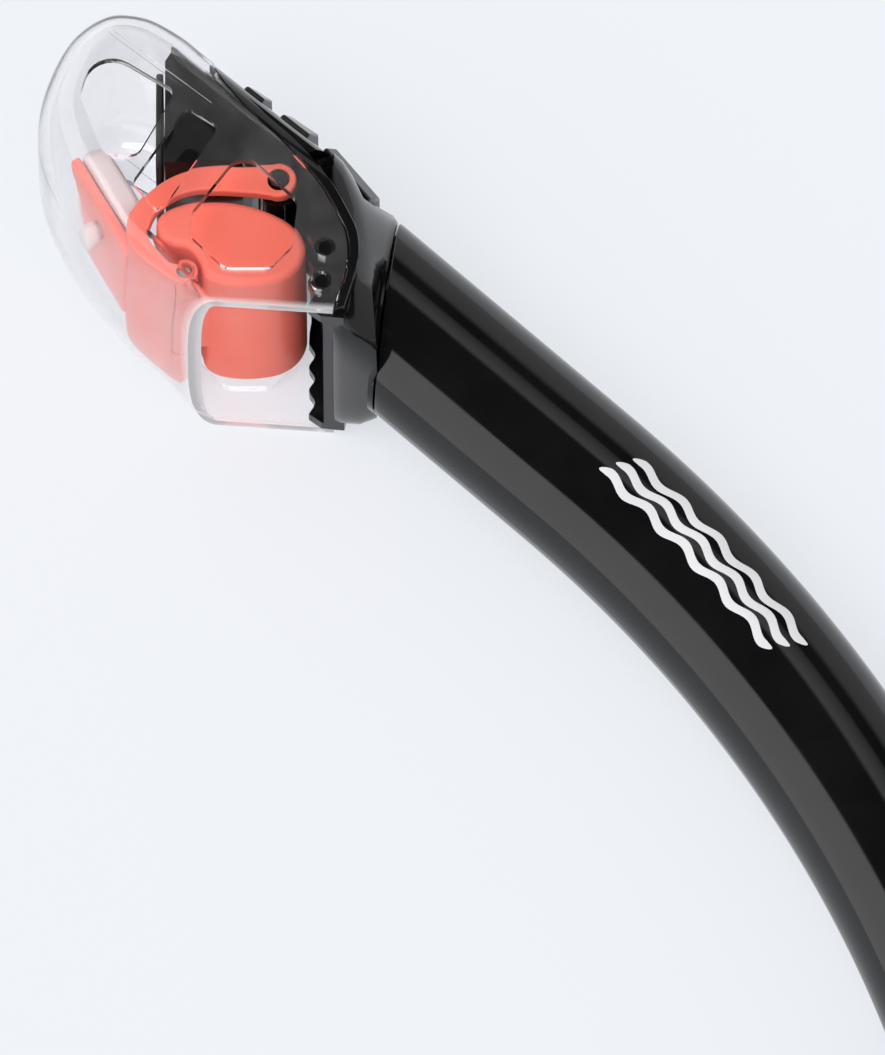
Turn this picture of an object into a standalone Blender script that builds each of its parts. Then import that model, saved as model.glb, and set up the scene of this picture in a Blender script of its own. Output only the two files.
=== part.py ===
"""Dry-top snorkel: clear splash hood, float valve, curved oval tube, flexible hose and mouthpiece.

The snorkel lies on its side. +X and +Y lie in the plane of its curve, +Y towards the
top of the tube, and +Z points sideways, up from the surface it lies on. Numbers are in
millimetres in a drawing frame whose origin is the pivot of the float arm, in the middle
plane. The last step moves everything so that the bottom centre of the whole box is at
the world's origin.
"""
import math

import bmesh
import bpy
from mathutils import Matrix, Vector

MM = 0.001
GAP = 0.3  # clearance between pieces that touch

# Oval tube
TUBE_A = 13.7  # half width in the plane of the curve
TUBE_B = 11.6  # half width sideways
TUBE_WALL = 1.8
TUBE_START = (18.0, -16.8)  # where the tube's axis leaves the valve housing
TUBE_ANGLE = 43.5  # slope of the axis there, degrees below +X
TUBE_STRAIGHT = 43.0
TUBE_BEND = 247.0  # radius of the bend after the straight run
TUBE_END_ANGLE = 86.0
SEAM_LEAN = 7.4  # the joint face of tube and housing, degrees from +Y
TUBE_SIDES = 28

# Splash hood
HOOD_HALF = 21.8
HOOD_WALL = 1.5
HOOD_DEPTH = 7.4  # how far the front curves in from its middle to the side panels
MOUTH_DEPTH = 3.2  # the same at the mouth
HOOD_POWER = 3.6  # how square the curve is between the two
MOUTH_LEVEL = 26.5  # how far the mouth lies below the arm's pivot
RIB = ((-29.4, 27.2), (-11.4, 12.2))  # a low rib inside each side panel

# Float arm and valve
ARM_HALF = 16.9
LEG_THICK = 2.2
EYE_R = 3.0
EYE_HOLE_R = 1.85
PIN_R = 1.45
CLOSE_ANGLE = 29.0  # swing of the arm from open to shut
PLATE_BACK = -27.0  # seal plate in the shut position
PLATE_THICK = 1.8
PORT_X = -18.9  # face of the air port
KNUCKLE = (-15.4, -17.0)
KNUCKLE_R = 2.1
FLOAT_HALF = 17.0
FLOAT_WALL = 1.6

# Housing
CORE_HALF = 14.2
WING_HALF = 19.9
DUCT_HALF = 11.2
PEG_R = 1.4
PEGS = ((7.75, -15.0), (7.1, -21.3))
SPINE_START = (-11.0, 24.5)
SPINE_END = (20.0, -3.0)
# Each fin's two ends: how far along the back, half width, height
FINS = (((8.5, 16.5, 0.7), (12.5, 16.5, 1.0)),
        ((16.5, 16.5, 0.9), (22.5, 16.5, 1.3)),
        ((26.0, 16.5, 1.3), (36.0, 10.5, 1.4)))

# Keeper for the mask strap
KEEPER_ANGLE = 77.0  # where on the bend, as the slope of the axis
KEEPER_LENGTH = 15.0
CLIP_WIDTH = 22.0
CLIP_LENGTH = 27.0
STRAP_GAP = 4.3
CLIP_BAR = 1.6  # the clip's outer bar
BOSS_LEVEL = -13.7  # lower face of the keeper's boss

# Hose, purge chamber and mouthpiece
HOSE_R = 13.8
HOSE_VALLEY_R = 11.9
HOSE_BORE_R = 10.7
HOSE_CUFF_R = 12.9
HOSE_LENGTH = 92.0
HOSE_END_ANGLE = 104.0
HOSE_FOLDS = 10
CUFF_LENGTH = 9.0
LIFT = 5.4  # the mouthpiece end lies this much higher than the head end
ADAPTER_LENGTH = 12.3
SPIGOT_R = 10.3
CHAMBER_R = 15.0
CHAMBER_LENGTH = 42.0
BRANCH_A = 11.0
BRANCH_B = 13.0
BRANCH_LENGTH = 24.0
BRANCH_AT = 19.0  # how far down the chamber the mouthpiece branches off
FLANGE_HALF_Z = 27.0
FLANGE_HALF_Y = 14.5


# ---------------------------------------------------------------- outlines
def rounded(corners, radius=0.0, steps=4):
    """A closed polygon whose corners are arcs, of the given radius or of each corner's own."""
    out = []
    count = len(corners)
    for i, corner in enumerate(corners):
        here = Vector(corner[:2])
        bend = corner[2] if len(corner) > 2 else radius
        before = (Vector(corners[i - 1][:2]) - here).normalized()
        after = (Vector(corners[(i + 1) % count][:2]) - here).normalized()
        half = before.angle(after) / 2
        centre = here + (before + after).normalized() * bend / math.sin(half)
        start = here + before * bend / math.tan(half) - centre
        sweep = math.pi - 2 * half
        turn = 1 if before.x * after.y - before.y * after.x < 0 else -1
        for k in range(steps + 1):
            out.append(tuple(centre + Matrix.Rotation(turn * sweep * k / steps, 2) @ start))
    return out


def smooth(points, steps=3, closed=False):
    """Points of a Catmull-Rom curve through the given ones."""
    pts = [Vector(p) for p in points]
    count = len(pts)
    spans = count if closed else count - 1
    out = []
    for i in range(spans):
        a = pts[i - 1] if closed or i else pts[0] * 2 - pts[1]
        b = pts[i]
        c = pts[(i + 1) % count]
        d = pts[(i + 2) % count] if closed or i + 2 < count else c * 2 - b
        for k in range(steps):
            t = k / steps
            out.append(tuple(0.5 * ((2 * b) + (c - a) * t + (2 * a - 5 * b + 4 * c - d) * t**2
                                    + (3 * b - a - 3 * c + d) * t**3)))
    if not closed:
        out.append(tuple(pts[-1]))
    return out


def area(points):
    return sum(p[0] * q[1] - q[0] * p[1] for p, q in zip(points, points[1:] + points[:1])) / 2


def inset(points, distance):
    """The outline moved inwards by distance, or by one distance for each point."""
    side = 1 if area(points) > 0 else -1
    out = []
    count = len(points)
    steps = distance if isinstance(distance, list) else [distance] * count
    for i in range(count):
        before = (Vector(points[i]) - Vector(points[i - 1])).normalized()
        after = (Vector(points[(i + 1) % count]) - Vector(points[i])).normalized()
        along = (before + after).normalized()
        normal = Vector((-along.y, along.x)) * side
        stretch = max(0.5, along.dot(after))
        out.append(tuple(Vector(points[i]) + normal * steps[i] / stretch))
    return out


def circle(centre, radius, steps=16):
    turn = 2 * math.pi / steps
    return [(centre[0] + radius * math.cos(turn * k), centre[1] + radius * math.sin(turn * k))
            for k in range(steps)]


def shifted(line, distance):
    """Two points of a line moved sideways, to its left as it runs."""
    a, b = Vector(line[0]), Vector(line[1])
    along = (b - a).normalized()
    step = Vector((-along.y, along.x)) * distance
    return tuple(a + step), tuple(b + step)


HOOD_OUTLINE = smooth([(-13.6, -26.5), (-21.0, -18.8), (-28.0, -12.0), (-34.0, -4.0), (-38.4, 5.0),
                       (-40.1, 13.5), (-38.6, 21.0), (-34.8, 28.2), (-28.6, 32.4), (-21.6, 32.0),
                       (-15.6, 28.6), (-11, 24.5)], 3)
HOOD_OUTLINE = HOOD_OUTLINE + [(4.5, 10.75), (20, -3), (27, -16), (27, -46), (5, -46)]
HOOD_EDGE = smooth([(-8.0, 31), (-10.9, 22.5), (-9.6, 17), (-4.5, 10), (0, 5.4), (4.5, -0.2),
                    (7.4, -4.5), (9.6, -9), (10.9, -12.1), (11.4, -15.3), (11.2, -18.5),
                    (10.4, -21.8), (9.0, -26.8)], 2)
WINDOWS = {
    "rear_window": rounded([(-30.2, 23.0, 4.6), (-17.0, 14.2, 1.8), (-23.3, 2.2, 2.2), (-28.8, 2.2, 3.2),
                            (-33.0, 13.4, 5.0)]),
    "slot_window": rounded([(-15.3, 11.2, 1.4), (-9.8, 7.6, 1.4), (-19.6, -8.8, 1.4), (-24.2, -2.9, 1.4)]),
    "shield_window": rounded([(-6.0, 3.2, 3.2), (3.2, -6.2, 3.0), (2.3, -14.9, 3.0), (-1.2, -18.9, 2.4),
                              (-8.9, -18.9, 3.0), (-14.9, -12.6, 3.0), (-14.2, -8.4, 3.0)]),
}


# ---------------------------------------------------------------- scene helpers
def clear_scene():
    for obj in list(bpy.data.objects):
        bpy.data.objects.remove(obj, do_unlink=True)
    for group in list(bpy.data.collections):
        bpy.data.collections.remove(group)


def new_collection(name):
    group = bpy.data.collections.new(name)
    bpy.context.scene.collection.children.link(group)
    return group


def new_empty(name, where=(0, 0, 0), parent=None):
    empty = bpy.data.objects.new(name, None)
    PARTS.objects.link(empty)
    empty.empty_display_size = 0.01
    empty.parent = parent
    empty.location = Vector(where) * MM
    return empty


clear_scene()
PARTS = new_collection("snorkel_tube")
CUTTERS = new_collection("cutters")
ROOT = new_empty("snorkel_origin")


def material(name, colour, roughness, metallic=0.0, alpha=1.0):
    mat = bpy.data.materials.new(name)
    mat.use_nodes = True
    shader = mat.node_tree.nodes["Principled BSDF"]
    shader.inputs["Base Color"].default_value = (*colour, 1.0)
    shader.inputs["Roughness"].default_value = roughness
    shader.inputs["Metallic"].default_value = metallic
    shader.inputs["Alpha"].default_value = alpha
    return mat


def mesh_object(name, bm):
    bmesh.ops.recalc_face_normals(bm, faces=bm.faces)
    mesh = bpy.data.meshes.new(name)
    bm.to_mesh(mesh)
    bm.free()
    obj = bpy.data.objects.new(name, mesh)
    PARTS.objects.link(obj)
    obj.parent = ROOT
    return obj


def prism(name, outline, low, high):
    """A flat outline in X and Y, filled and extruded from low to high along Z."""
    data = bpy.data.curves.new(name, "CURVE")
    data.dimensions = "2D"
    data.fill_mode = "BOTH"
    data.extrude = (high - low) / 2 * MM
    spline = data.splines.new("POLY")
    spline.points.add(len(outline) - 1)
    for point, (x, y) in zip(spline.points, outline):
        point.co = (x * MM, y * MM, 0, 1)
    spline.use_cyclic_u = True
    curve = bpy.data.objects.new(name + "_outline", data)
    PARTS.objects.link(curve)
    curve.location.z = (high + low) / 2 * MM
    bpy.context.view_layer.update()
    mesh = bpy.data.meshes.new_from_object(curve.evaluated_get(bpy.context.evaluated_depsgraph_get()))
    bm = bmesh.new()
    bm.from_mesh(mesh)
    bmesh.ops.transform(bm, matrix=curve.matrix_world, verts=bm.verts)
    bmesh.ops.remove_doubles(bm, verts=bm.verts, dist=0.000002)
    bmesh.ops.dissolve_limit(bm, angle_limit=math.radians(0.5), verts=bm.verts, edges=bm.edges)
    bpy.data.objects.remove(curve)
    return mesh_object(name, bm)


def loft(name, rings, hollow=False):
    """Closed rings joined one to the next. A hollow loft joins its last ring to its first."""
    bm = bmesh.new()
    rows = [[bm.verts.new(Vector(p) * MM) for p in points] for points in rings]
    pairs = list(zip(rows, rows[1:]))
    if hollow:
        pairs.append((rows[-1], rows[0]))
    else:
        bm.faces.new(rows[0])
        bm.faces.new(rows[-1])
    for first, second in pairs:
        for k in range(len(first)):
            n = (k + 1) % len(first)
            bm.faces.new((first[k], first[n], second[n], second[k]))
    return mesh_object(name, bm)


def ring(centre, u, v, a, b, sides=TUBE_SIDES, power=2.0):
    """An oval of half widths a along u and b along v. A power over 2 squares its corners."""
    out = []
    for k in range(sides):
        angle = 2 * math.pi * k / sides
        c, s = math.cos(angle), math.sin(angle)
        x = math.copysign(abs(c) ** (2 / power), c) * a
        y = math.copysign(abs(s) ** (2 / power), s) * b
        out.append(centre + u * x + v * y)
    return out


def cylinder(name, start, end, radius, sides=24):
    """A round bar between two points."""
    a, b = Vector(start) * MM, Vector(end) * MM
    bm = bmesh.new()
    bmesh.ops.create_cone(bm, cap_ends=True, segments=sides, radius1=radius * MM,
                          radius2=radius * MM, depth=(b - a).length)
    turn = Vector((0, 0, 1)).rotation_difference(b - a).to_matrix().to_4x4()
    bmesh.ops.transform(bm, matrix=Matrix.Translation((a + b) / 2) @ turn, verts=bm.verts)
    return mesh_object(name, bm)


def block(name, low, high):
    """A box between two corners."""
    a, b = Vector(low) * MM, Vector(high) * MM
    bm = bmesh.new()
    bmesh.ops.create_cube(bm, size=1)
    bmesh.ops.scale(bm, vec=b - a, verts=bm.verts)
    bmesh.ops.translate(bm, vec=(a + b) / 2, verts=bm.verts)
    return mesh_object(name, bm)


def combine(obj, other, operation):
    """Cut, join or intersect obj with another object, which becomes a hidden cutter."""
    PARTS.objects.unlink(other)
    CUTTERS.objects.link(other)
    other.hide_render = True
    other.display_type = "WIRE"
    boolean = obj.modifiers.new(other.name, "BOOLEAN")
    boolean.operation = operation
    boolean.solver = "EXACT"
    boolean.object = other


def cut(obj, *others):
    for other in others:
        combine(obj, other, "DIFFERENCE")


def join(obj, *others):
    for other in others:
        combine(obj, other, "UNION")


def bevel(obj, width, segments=2, angle=40):
    mod = obj.modifiers.new("rounded_edges", "BEVEL")
    mod.width = width * MM
    mod.segments = segments
    mod.limit_method = "ANGLE"
    mod.angle_limit = math.radians(angle)
    mod.use_clamp_overlap = False


def moved(obj, matrix):
    """The object's mesh turned or shifted in the drawing frame, before any modifier."""
    obj.data.transform(matrix)
    return obj


def finish(obj, mat, axis=None):
    """Give a part its material, and hang it on the empty that marks its joint's axis."""
    obj.data.materials.clear()
    obj.data.materials.append(mat)
    obj.data.shade_smooth()
    obj.data.set_sharp_from_angle(angle=math.radians(35))
    if axis:
        obj.parent = axis
        obj.location -= axis.location
    return obj


# ---------------------------------------------------------------- axis of the tube and hose
def along_tube(s):
    """Centre, direction and in-plane normal of the tube at a length s from the housing."""
    start = math.radians(TUBE_ANGLE)
    run = min(s, TUBE_STRAIGHT)
    x = TUBE_START[0] + run * math.cos(start)
    y = TUBE_START[1] - run * math.sin(start)
    slope = start + max(0.0, s - TUBE_STRAIGHT) / TUBE_BEND
    x += TUBE_BEND * (math.sin(slope) - math.sin(start))
    y -= TUBE_BEND * (math.cos(start) - math.cos(slope))
    return frame_at(x, y, 0, slope)


def frame_at(x, y, z, slope):
    direction = Vector((math.cos(slope), -math.sin(slope), 0))
    normal = Vector((math.sin(slope), math.cos(slope), 0))
    return Vector((x, y, z)), direction, normal


def length_at(angle):
    """The length along the tube where its axis slopes by an angle in degrees."""
    return TUBE_STRAIGHT + TUBE_BEND * math.radians(angle - TUBE_ANGLE)


TUBE_LENGTH = length_at(TUBE_END_ANGLE)
SIDEWAYS = Vector((0, 0, 1))


def along_hose(t):
    """Centre, direction and normal of the hose at a length t from its upper end."""
    centre, direction, _ = along_tube(TUBE_LENGTH)
    top = centre + direction * ADAPTER_LENGTH
    start = math.radians(TUBE_END_ANGLE)
    radius = HOSE_LENGTH / (math.radians(HOSE_END_ANGLE) - start)
    slope = start + min(max(t, 0.0), HOSE_LENGTH) / radius
    x = top.x + radius * (math.sin(slope) - math.sin(start))
    y = top.y - radius * (math.cos(start) - math.cos(slope))
    share = min(max(t / HOSE_LENGTH, 0.0), 1.0)
    rise = LIFT * share * share * (3 - 2 * share)
    centre, direction, normal = frame_at(x, y, rise, slope)
    return centre + direction * (t - min(max(t, 0.0), HOSE_LENGTH)), direction, normal


def oval(place, a, b, shift=0.0, sides=TUBE_SIDES):
    """An oval ring square to the axis at a place of the tube or hose."""
    centre, direction, normal = place
    return ring(centre + direction * shift, normal, SIDEWAYS, a, b, sides)


def seam_oval(a, b, shift=0.0):
    """The oval that the leaning joint face cuts from the tube's straight start."""
    centre, direction, normal = along_tube(0)
    lean = math.radians(SEAM_LEAN)
    face = Vector((math.cos(lean), -math.sin(lean), 0))
    out = []
    for point in ring(centre, normal, SIDEWAYS, a, b):
        along = (centre - point).dot(face) / direction.dot(face)
        out.append(point + direction * (along + shift))
    return out


# ---------------------------------------------------------------- head: hood and housing
def pillow(name, depth):
    """The outer form of the hood, moved inwards by depth: flat sides and a bulging front."""
    half = HOOD_HALF - depth
    reach = []
    for _, y in HOOD_OUTLINE:
        share = min(max(-y / MOUTH_LEVEL, 0.0), 1.0)
        reach.append(HOOD_DEPTH + (MOUTH_DEPTH - HOOD_DEPTH) * share - depth)
    levels = []
    for angle in (-90, -78, -62, -46, -30, -14, 0, 14, 30, 46, 62, 78, 90):
        tilt = math.radians(abs(angle))
        level = math.copysign(half * math.sin(tilt) ** (2 / HOOD_POWER), angle)
        levels.append((level, [depth + far * (1 - math.cos(tilt)) for far in reach]))
    return loft(name, [[(x, y, z) for x, y in inset(HOOD_OUTLINE, steps)] for z, steps in levels])


def hood_shell(name, outside, inside, shift):
    """The hood's wall between two depths, open at the mouth and at its shifted back edge."""
    shell = pillow(name, outside)
    cut(shell, pillow(name + "_inside", inside))
    back = [tuple(Vector(p) + Vector(shift)) for p in HOOD_EDGE]
    keep = back + [(-16.2, -24.9 + shift[1] * 4), (-60, -21), (-60, 60), (0, 60)]
    combine(shell, prism(name + "_edges", keep, -30, 30), "INTERSECT")
    return shell


def splash_hood(mat):
    hood = hood_shell("splash_hood", 0, HOOD_WALL, (0, 0))
    for name, outline in WINDOWS.items():
        cut(hood, prism(name, outline, -30, 30))
    for k, peg in enumerate(PEGS):
        cut(hood, prism(f"peg_hole_{k}", circle(peg, PEG_R + 0.35), -30, 30))
    join(hood, *panel_ribs())
    return finish(hood, mat)


def panel_ribs():
    """A low rib on the inner face of each side panel."""
    low, high = shifted(RIB, -0.4), shifted(RIB, 0.4)
    face = HOOD_HALF - HOOD_WALL
    ribs = []
    for side in (-1, 1):
        levels = sorted((side * (face - 0.25), side * (face + 0.3)))
        ribs.append(prism(f"panel_rib_{side}", [low[0], low[1], high[1], high[0]], *levels))
    return ribs


def wing_outline():
    """The housing's wide back part, seen from the side, with a scalloped front edge."""
    front = [(-17.5, 25.6), (-15.0, 19.0), (-9.2, 11.6), (-4.0, 6.8), (0.4, 4.4), (3.6, 1.4),
             (4.3, -2.5), (5.3, -7.0), (5.0, -10.0)]
    scallops = []
    for k in range(7):
        y = -12.2 - 2.2 * k
        scallops.append((5.9 if k % 2 else 4.9, y))
    lower = [(7.0, -27.0), (10.8, -27.4)]
    back = [tuple(Vector(p) + Vector((1.9, 0.6))) for p in HOOD_EDGE[-4:9:-1]]
    top, bottom = shifted((SPINE_START, SPINE_END), -1.6)
    knee = tuple(Vector(top).lerp(Vector(bottom), 0.66))
    return front + scallops + lower + back + [knee, top]


def housing_shell():
    """Wide back, rim bead and duct core, trimmed to the hood's form."""
    shell = prism("valve_housing", wing_outline(), -WING_HALF, WING_HALF)
    inner = [tuple(Vector(p) + Vector((0.36, 0.2))) for p in HOOD_EDGE[2:]]
    outer = [tuple(Vector(p) + Vector((2.0, 0.9))) for p in HOOD_EDGE[2:]]
    rim = prism("rim_bead", inner + outer[::-1], -HOOD_HALF + 0.2, HOOD_HALF - 0.2)
    top, bottom = shifted((SPINE_START, SPINE_END), -2.1)
    knee = tuple(Vector(top).lerp(Vector(bottom), 0.7))
    boss = [(3.4 * math.cos(a), 3.4 * math.sin(a)) for a in
            [math.radians(20 - 28 * k) for k in range(9)]]
    core_outline = [(PORT_X, 4.9), (PORT_X, 23.6), (-17.3, 26.2), top, knee, (9.0, -8.0)]
    core = prism("duct_core", core_outline + boss + [(-6.0, 4.9)], -CORE_HALF, CORE_HALF)
    join(shell, rim, core)
    combine(shell, pillow("back_form", 0.25), "INTERSECT")
    join(shell, tube_socket())
    cut(shell, hood_shell("hood_room", -0.4, HOOD_WALL + GAP, (0.3, 0.15)))
    return shell


def tube_socket():
    """The part that narrows from the wide back to the oval of the tube."""
    sections = []
    for x, middle, tall, wide, power in ((8.9, -10.9, 16.7, 21.3, 6.0), (10.6, -12.0, 17.1, 20.7, 5.0)):
        centre = Vector((x, middle, 0))
        sections.append(ring(centre, Vector((0, 1, 0)), SIDEWAYS, tall, wide, power=power))
    start, end = Vector((10.6, -12.0, 0)), along_tube(0)[0]
    for share, tall, wide, power in ((0.3, 16.9, 19.6, 4.2), (0.6, 16.2, 17.2, 3.2)):
        lean = Matrix.Rotation(math.radians(SEAM_LEAN * share), 3, "Z") @ Vector((0, 1, 0))
        sections.append(ring(start.lerp(end, share), lean, SIDEWAYS, tall, wide, power=power))
    sections.append(seam_oval(TUBE_A + 0.1, TUBE_B + 0.9, -1.6))
    sections.append(seam_oval(TUBE_A, TUBE_B, -GAP))
    return loft("tube_socket", sections)


def spine_fins():
    """Three fins across the back of the housing, the last one running on to the tube."""
    top, bottom = Vector(SPINE_START), Vector(SPINE_END)
    along = (bottom - top).normalized()
    out = Vector((-along.y, along.x))
    fins = []
    for k, steps in enumerate(FINS):
        rings = []
        for distance, half, high in steps:
            foot = top + along * distance
            profile = [(-4.0, half), (-1.0, half), (high, half - 3.5)]
            profile += [(rise, -z) for rise, z in profile[::-1]]
            rings.append([Vector((*(foot + out * rise), z)) for rise, z in profile])
        fins.append(loft(f"fin_{k}", rings))
    return fins


def valve_housing(mat):
    housing = housing_shell()
    steps = ((-4.0, 11.3, 9.2), (10.6, 11.3, 9.2), (10.7, 9.9, 7.8), (17.0, 9.9, 7.8))
    spigot = loft("spigot", [oval(along_tube(0), a, b, t) for t, a, b in steps])
    join(housing, spigot, *spine_fins())
    for k, peg in enumerate(PEGS):
        join(housing, prism(f"peg_{k}", circle(peg, PEG_R, 12), 0.2 - HOOD_HALF, HOOD_HALF - 0.2))
    duct = [(-26, 6.6), (-26, 22.0), (-13.6, 22.0), (13.4, -1.0), (16.9, -6.0), (14.4, -25.0),
            (10.4, -25.0), (9.3, -14.0), (8.3, -7.5), (5.6, -1.6), (3.6, 3.6), (-1.5, 6.6)]
    bore = loft("bore", [oval(along_tube(0), 8.5, 6.4, -4.5), oval(along_tube(0), 8.5, 6.4, 20.0)])
    below = [(-10, -4.2), (3.2, -4.2), (6.4, -7), (6.8, -12), (7.4, -27), (7.4, -45), (-10, -45)]
    cut(housing, prism("duct", duct, -DUCT_HALF, DUCT_HALF), bore,
        prism("float_room", below, -17.8, 17.8))
    for side in (-1, 1):
        cut(housing, cylinder(f"pin_hole_{side}", (0, 0, side * 9.0), (0, 0, side * 16.0), PIN_R + GAP))
    return finish(housing, mat)


def port_gasket(mat):
    """Soft lip round the mouth of the air duct."""
    low, high = PORT_X - GAP - 1.2, PORT_X - GAP
    turn = Matrix(((0, 0, 1, 0), (1, 0, 0, 0), (0, 1, 0, 0), (0, 0, 0, 1)))
    outer = rounded([(5.4, -12.9), (23.1, -12.9), (23.1, 12.9), (5.4, 12.9)], 3.0)
    gasket = moved(prism("port_gasket", outer, low, high), turn)
    cut(gasket, moved(prism("gasket_hole", inset(outer, 2.0), low - 2, high + 2), turn))
    return finish(gasket, mat)


# ---------------------------------------------------------------- float arm and float
ARM_OUTER = smooth([(-5, 2.7), (-10.4, 2.6), (-15, 1.9), (-18.6, 0.2), (-21.9, -2.6), (-24.3, -5.9),
                    (-24.9, -9.1), (-24.1, -11.8), (-22.0, -14.2), (-19.4, -16.5), (-17.0, -18.6)], 2)
ARM_INNER = smooth([(-17.6, -15.2), (-19.4, -13.2), (-20.9, -11.2), (-21.2, -8.9), (-20.0, -6.0),
                    (-17.6, -3.7), (-14.5, -2.3), (-10, -1.9), (-4, -2.3)], 2)


def shut_to_open(obj):
    return moved(obj, Matrix.Rotation(math.radians(CLOSE_ANGLE), 4, "Z"))


def float_arm(mat, axis):
    """A bail with two legs, a curved front wall, knuckles for the float and a seal plate."""
    eye = [(EYE_R * math.cos(a), EYE_R * math.sin(a)) for a in
           [math.radians(-115 + 25 * k) for k in range(10)]]
    knuckle_side = [(-15.6, -19.4), (-14.1, -18.4), (-13.8, -16.6), (-15.1, -15.4)]
    outline = eye + ARM_OUTER + knuckle_side + ARM_INNER
    arm = prism("float_arm", outline, ARM_HALF - LEG_THICK, ARM_HALF)
    far_leg = prism("far_leg", outline, -ARM_HALF, LEG_THICK - ARM_HALF)
    start = next(k for k, p in enumerate(ARM_OUTER) if p[1] < -8.2)
    middle = Vector((-16.0, -9.0))
    strip = [tuple(Vector(p) + (middle - Vector(p)).normalized() * 0.2) for p in ARM_OUTER[start:]]
    thick = [tuple(Vector(p) + (middle - Vector(p)).normalized() * 1.7) for p in strip]
    wall = prism("front_wall", strip + thick[::-1], -ARM_HALF + 0.5, ARM_HALF - 0.5)
    plate = shut_to_open(block("seal_plate", (PLATE_BACK, 3.2, -9.5),
                               (PLATE_BACK + PLATE_THICK, 23.4, 9.5)))
    knuckle = cylinder("knuckle", (*KNUCKLE, 0.5 - ARM_HALF), (*KNUCKLE, ARM_HALF - 0.5), KNUCKLE_R, 20)
    join(arm, far_leg, wall, plate, knuckle)
    holes = [cylinder("eye_hole", (0, 0, -30), (0, 0, 30), EYE_HOLE_R, 20),
             cylinder("float_pin_hole", (*KNUCKLE, -30), (*KNUCKLE, 30), 1.25, 16),
             cylinder("lug_room", (*KNUCKLE, -8), (*KNUCKLE, 8), 2.6),
             shut_to_open(cylinder("stem_hole", (PLATE_BACK - 5, 14, 0), (PLATE_BACK + 5, 14, 0), 1.5, 16))]
    cut(arm, *holes)
    return finish(arm, mat, axis)


def arm_pin(name, side, mat):
    """A short pin from the duct's side through one eye of the arm."""
    return finish(cylinder(name, (0, 0, side * 11.6), (0, 0, side * 17.6), PIN_R, 20), mat)


def seal_pad(mat, axis):
    """Soft pad that shuts the port, held to the plate by a stem and a bulb."""
    front = PLATE_BACK + PLATE_THICK + GAP
    turn = Matrix(((0, 0, 1, 0), (1, 0, 0, 0), (0, 1, 0, 0), (0, 0, 0, 1)))
    outline = rounded([(5.3, -13.2), (23.9, -13.2), (23.9, 13.2), (5.3, 13.2)], 7.0, 5)
    pad = moved(prism("seal_pad", outline, front, front + 4.0), turn)
    stem = cylinder("pad_stem", (PLATE_BACK - 0.8, 14, 0), (front + 1, 14, 0), 1.1, 16)
    bulb = cylinder("pad_bulb", (PLATE_BACK - 1.8, 14, 0), (PLATE_BACK - GAP, 14, 0), 2.0, 16)
    for piece in (pad, stem, bulb):
        shut_to_open(piece)
    join(pad, stem, bulb)
    return finish(pad, mat, axis)


FLOAT_OUTLINE = smooth([(4.6, -13.4), (4.0, -10.6), (2.2, -8.0), (-0.6, -6.1), (-4.5, -4.5), (-8.7, -3.7),
                        (-12.9, -3.8), (-16.8, -4.8), (-19.4, -6.4), (-20.2, -8.6), (-19.4, -10.9),
                        (-17.2, -12.2), (-14.6, -13.0), (-13.0, -15.2), (-12.2, -17.6), (-10.4, -19.0),
                        (-7.3, -19.7), (-3.5, -19.7), (0.5, -18.8), (3.3, -16.6)], 2, True)


def float_body(mat, axis):
    """Hollow drum with a hinge lug, open at its far end."""
    body = prism("float_body", FLOAT_OUTLINE, -FLOAT_HALF, FLOAT_HALF)
    bevel(body, 1.6, 3, 60)
    lug_outline = [(-10.5, -13.4), (-13.6, -14.2), (-16.1, -15.1), (-17.3, -16.5), (-17.1, -18.1),
                   (-15.6, -19.0), (-13.4, -18.4), (-10.5, -17.8)]
    join(body, prism("float_lug", lug_outline, -7.5, 7.5))
    room = inset(FLOAT_OUTLINE, FLOAT_WALL)
    cut(body, prism("float_room_inside", room, -30, FLOAT_HALF - FLOAT_WALL),
        cylinder("lug_bore", (*KNUCKLE, -30), (*KNUCKLE, 30), 1.25, 16))
    return finish(body, mat, axis)


def float_cap(mat, axis):
    plug = prism("float_cap", inset(FLOAT_OUTLINE, FLOAT_WALL + GAP), -FLOAT_HALF, 2.0 - FLOAT_HALF)
    return finish(plug, mat, axis)


def float_pin(mat, axis):
    pin = cylinder("float_pin", (*KNUCKLE, 0.8 - ARM_HALF), (*KNUCKLE, ARM_HALF - 0.8), 0.95, 16)
    return finish(pin, mat, axis)


# ---------------------------------------------------------------- tube and keeper
def main_tube(mat):
    """Oval tube with a leaning upper end."""
    stations = [16.0, 29.0, TUBE_STRAIGHT]
    steps = 15
    for k in range(1, steps + 1):
        stations.append(TUBE_STRAIGHT + (TUBE_LENGTH - TUBE_STRAIGHT) * k / steps)
    bore_a, bore_b = TUBE_A - TUBE_WALL, TUBE_B - TUBE_WALL
    outer = [seam_oval(TUBE_A, TUBE_B)] + [oval(along_tube(s), TUBE_A, TUBE_B) for s in stations]
    inner = [seam_oval(bore_a, bore_b)] + [oval(along_tube(s), bore_a, bore_b) for s in stations]
    return finish(loft("main_tube", outer + inner[::-1], True), mat)


def tube_seal(mat):
    """Oval ring between the housing's spigot and the tube's bore."""
    rings = [(11.2, 11.5, 9.4), (14.8, 11.5, 9.4), (14.8, 10.2, 8.1), (11.2, 10.2, 8.1)]
    return finish(loft("tube_seal", [oval(along_tube(0), a, b, t) for t, a, b in rings], True), mat)


def keeper_place():
    return along_tube(length_at(KEEPER_ANGLE))


def keeper_level(height):
    """A height above the surface the snorkel lies on, as a level of the drawing frame."""
    return height - HOOD_HALF


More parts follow.
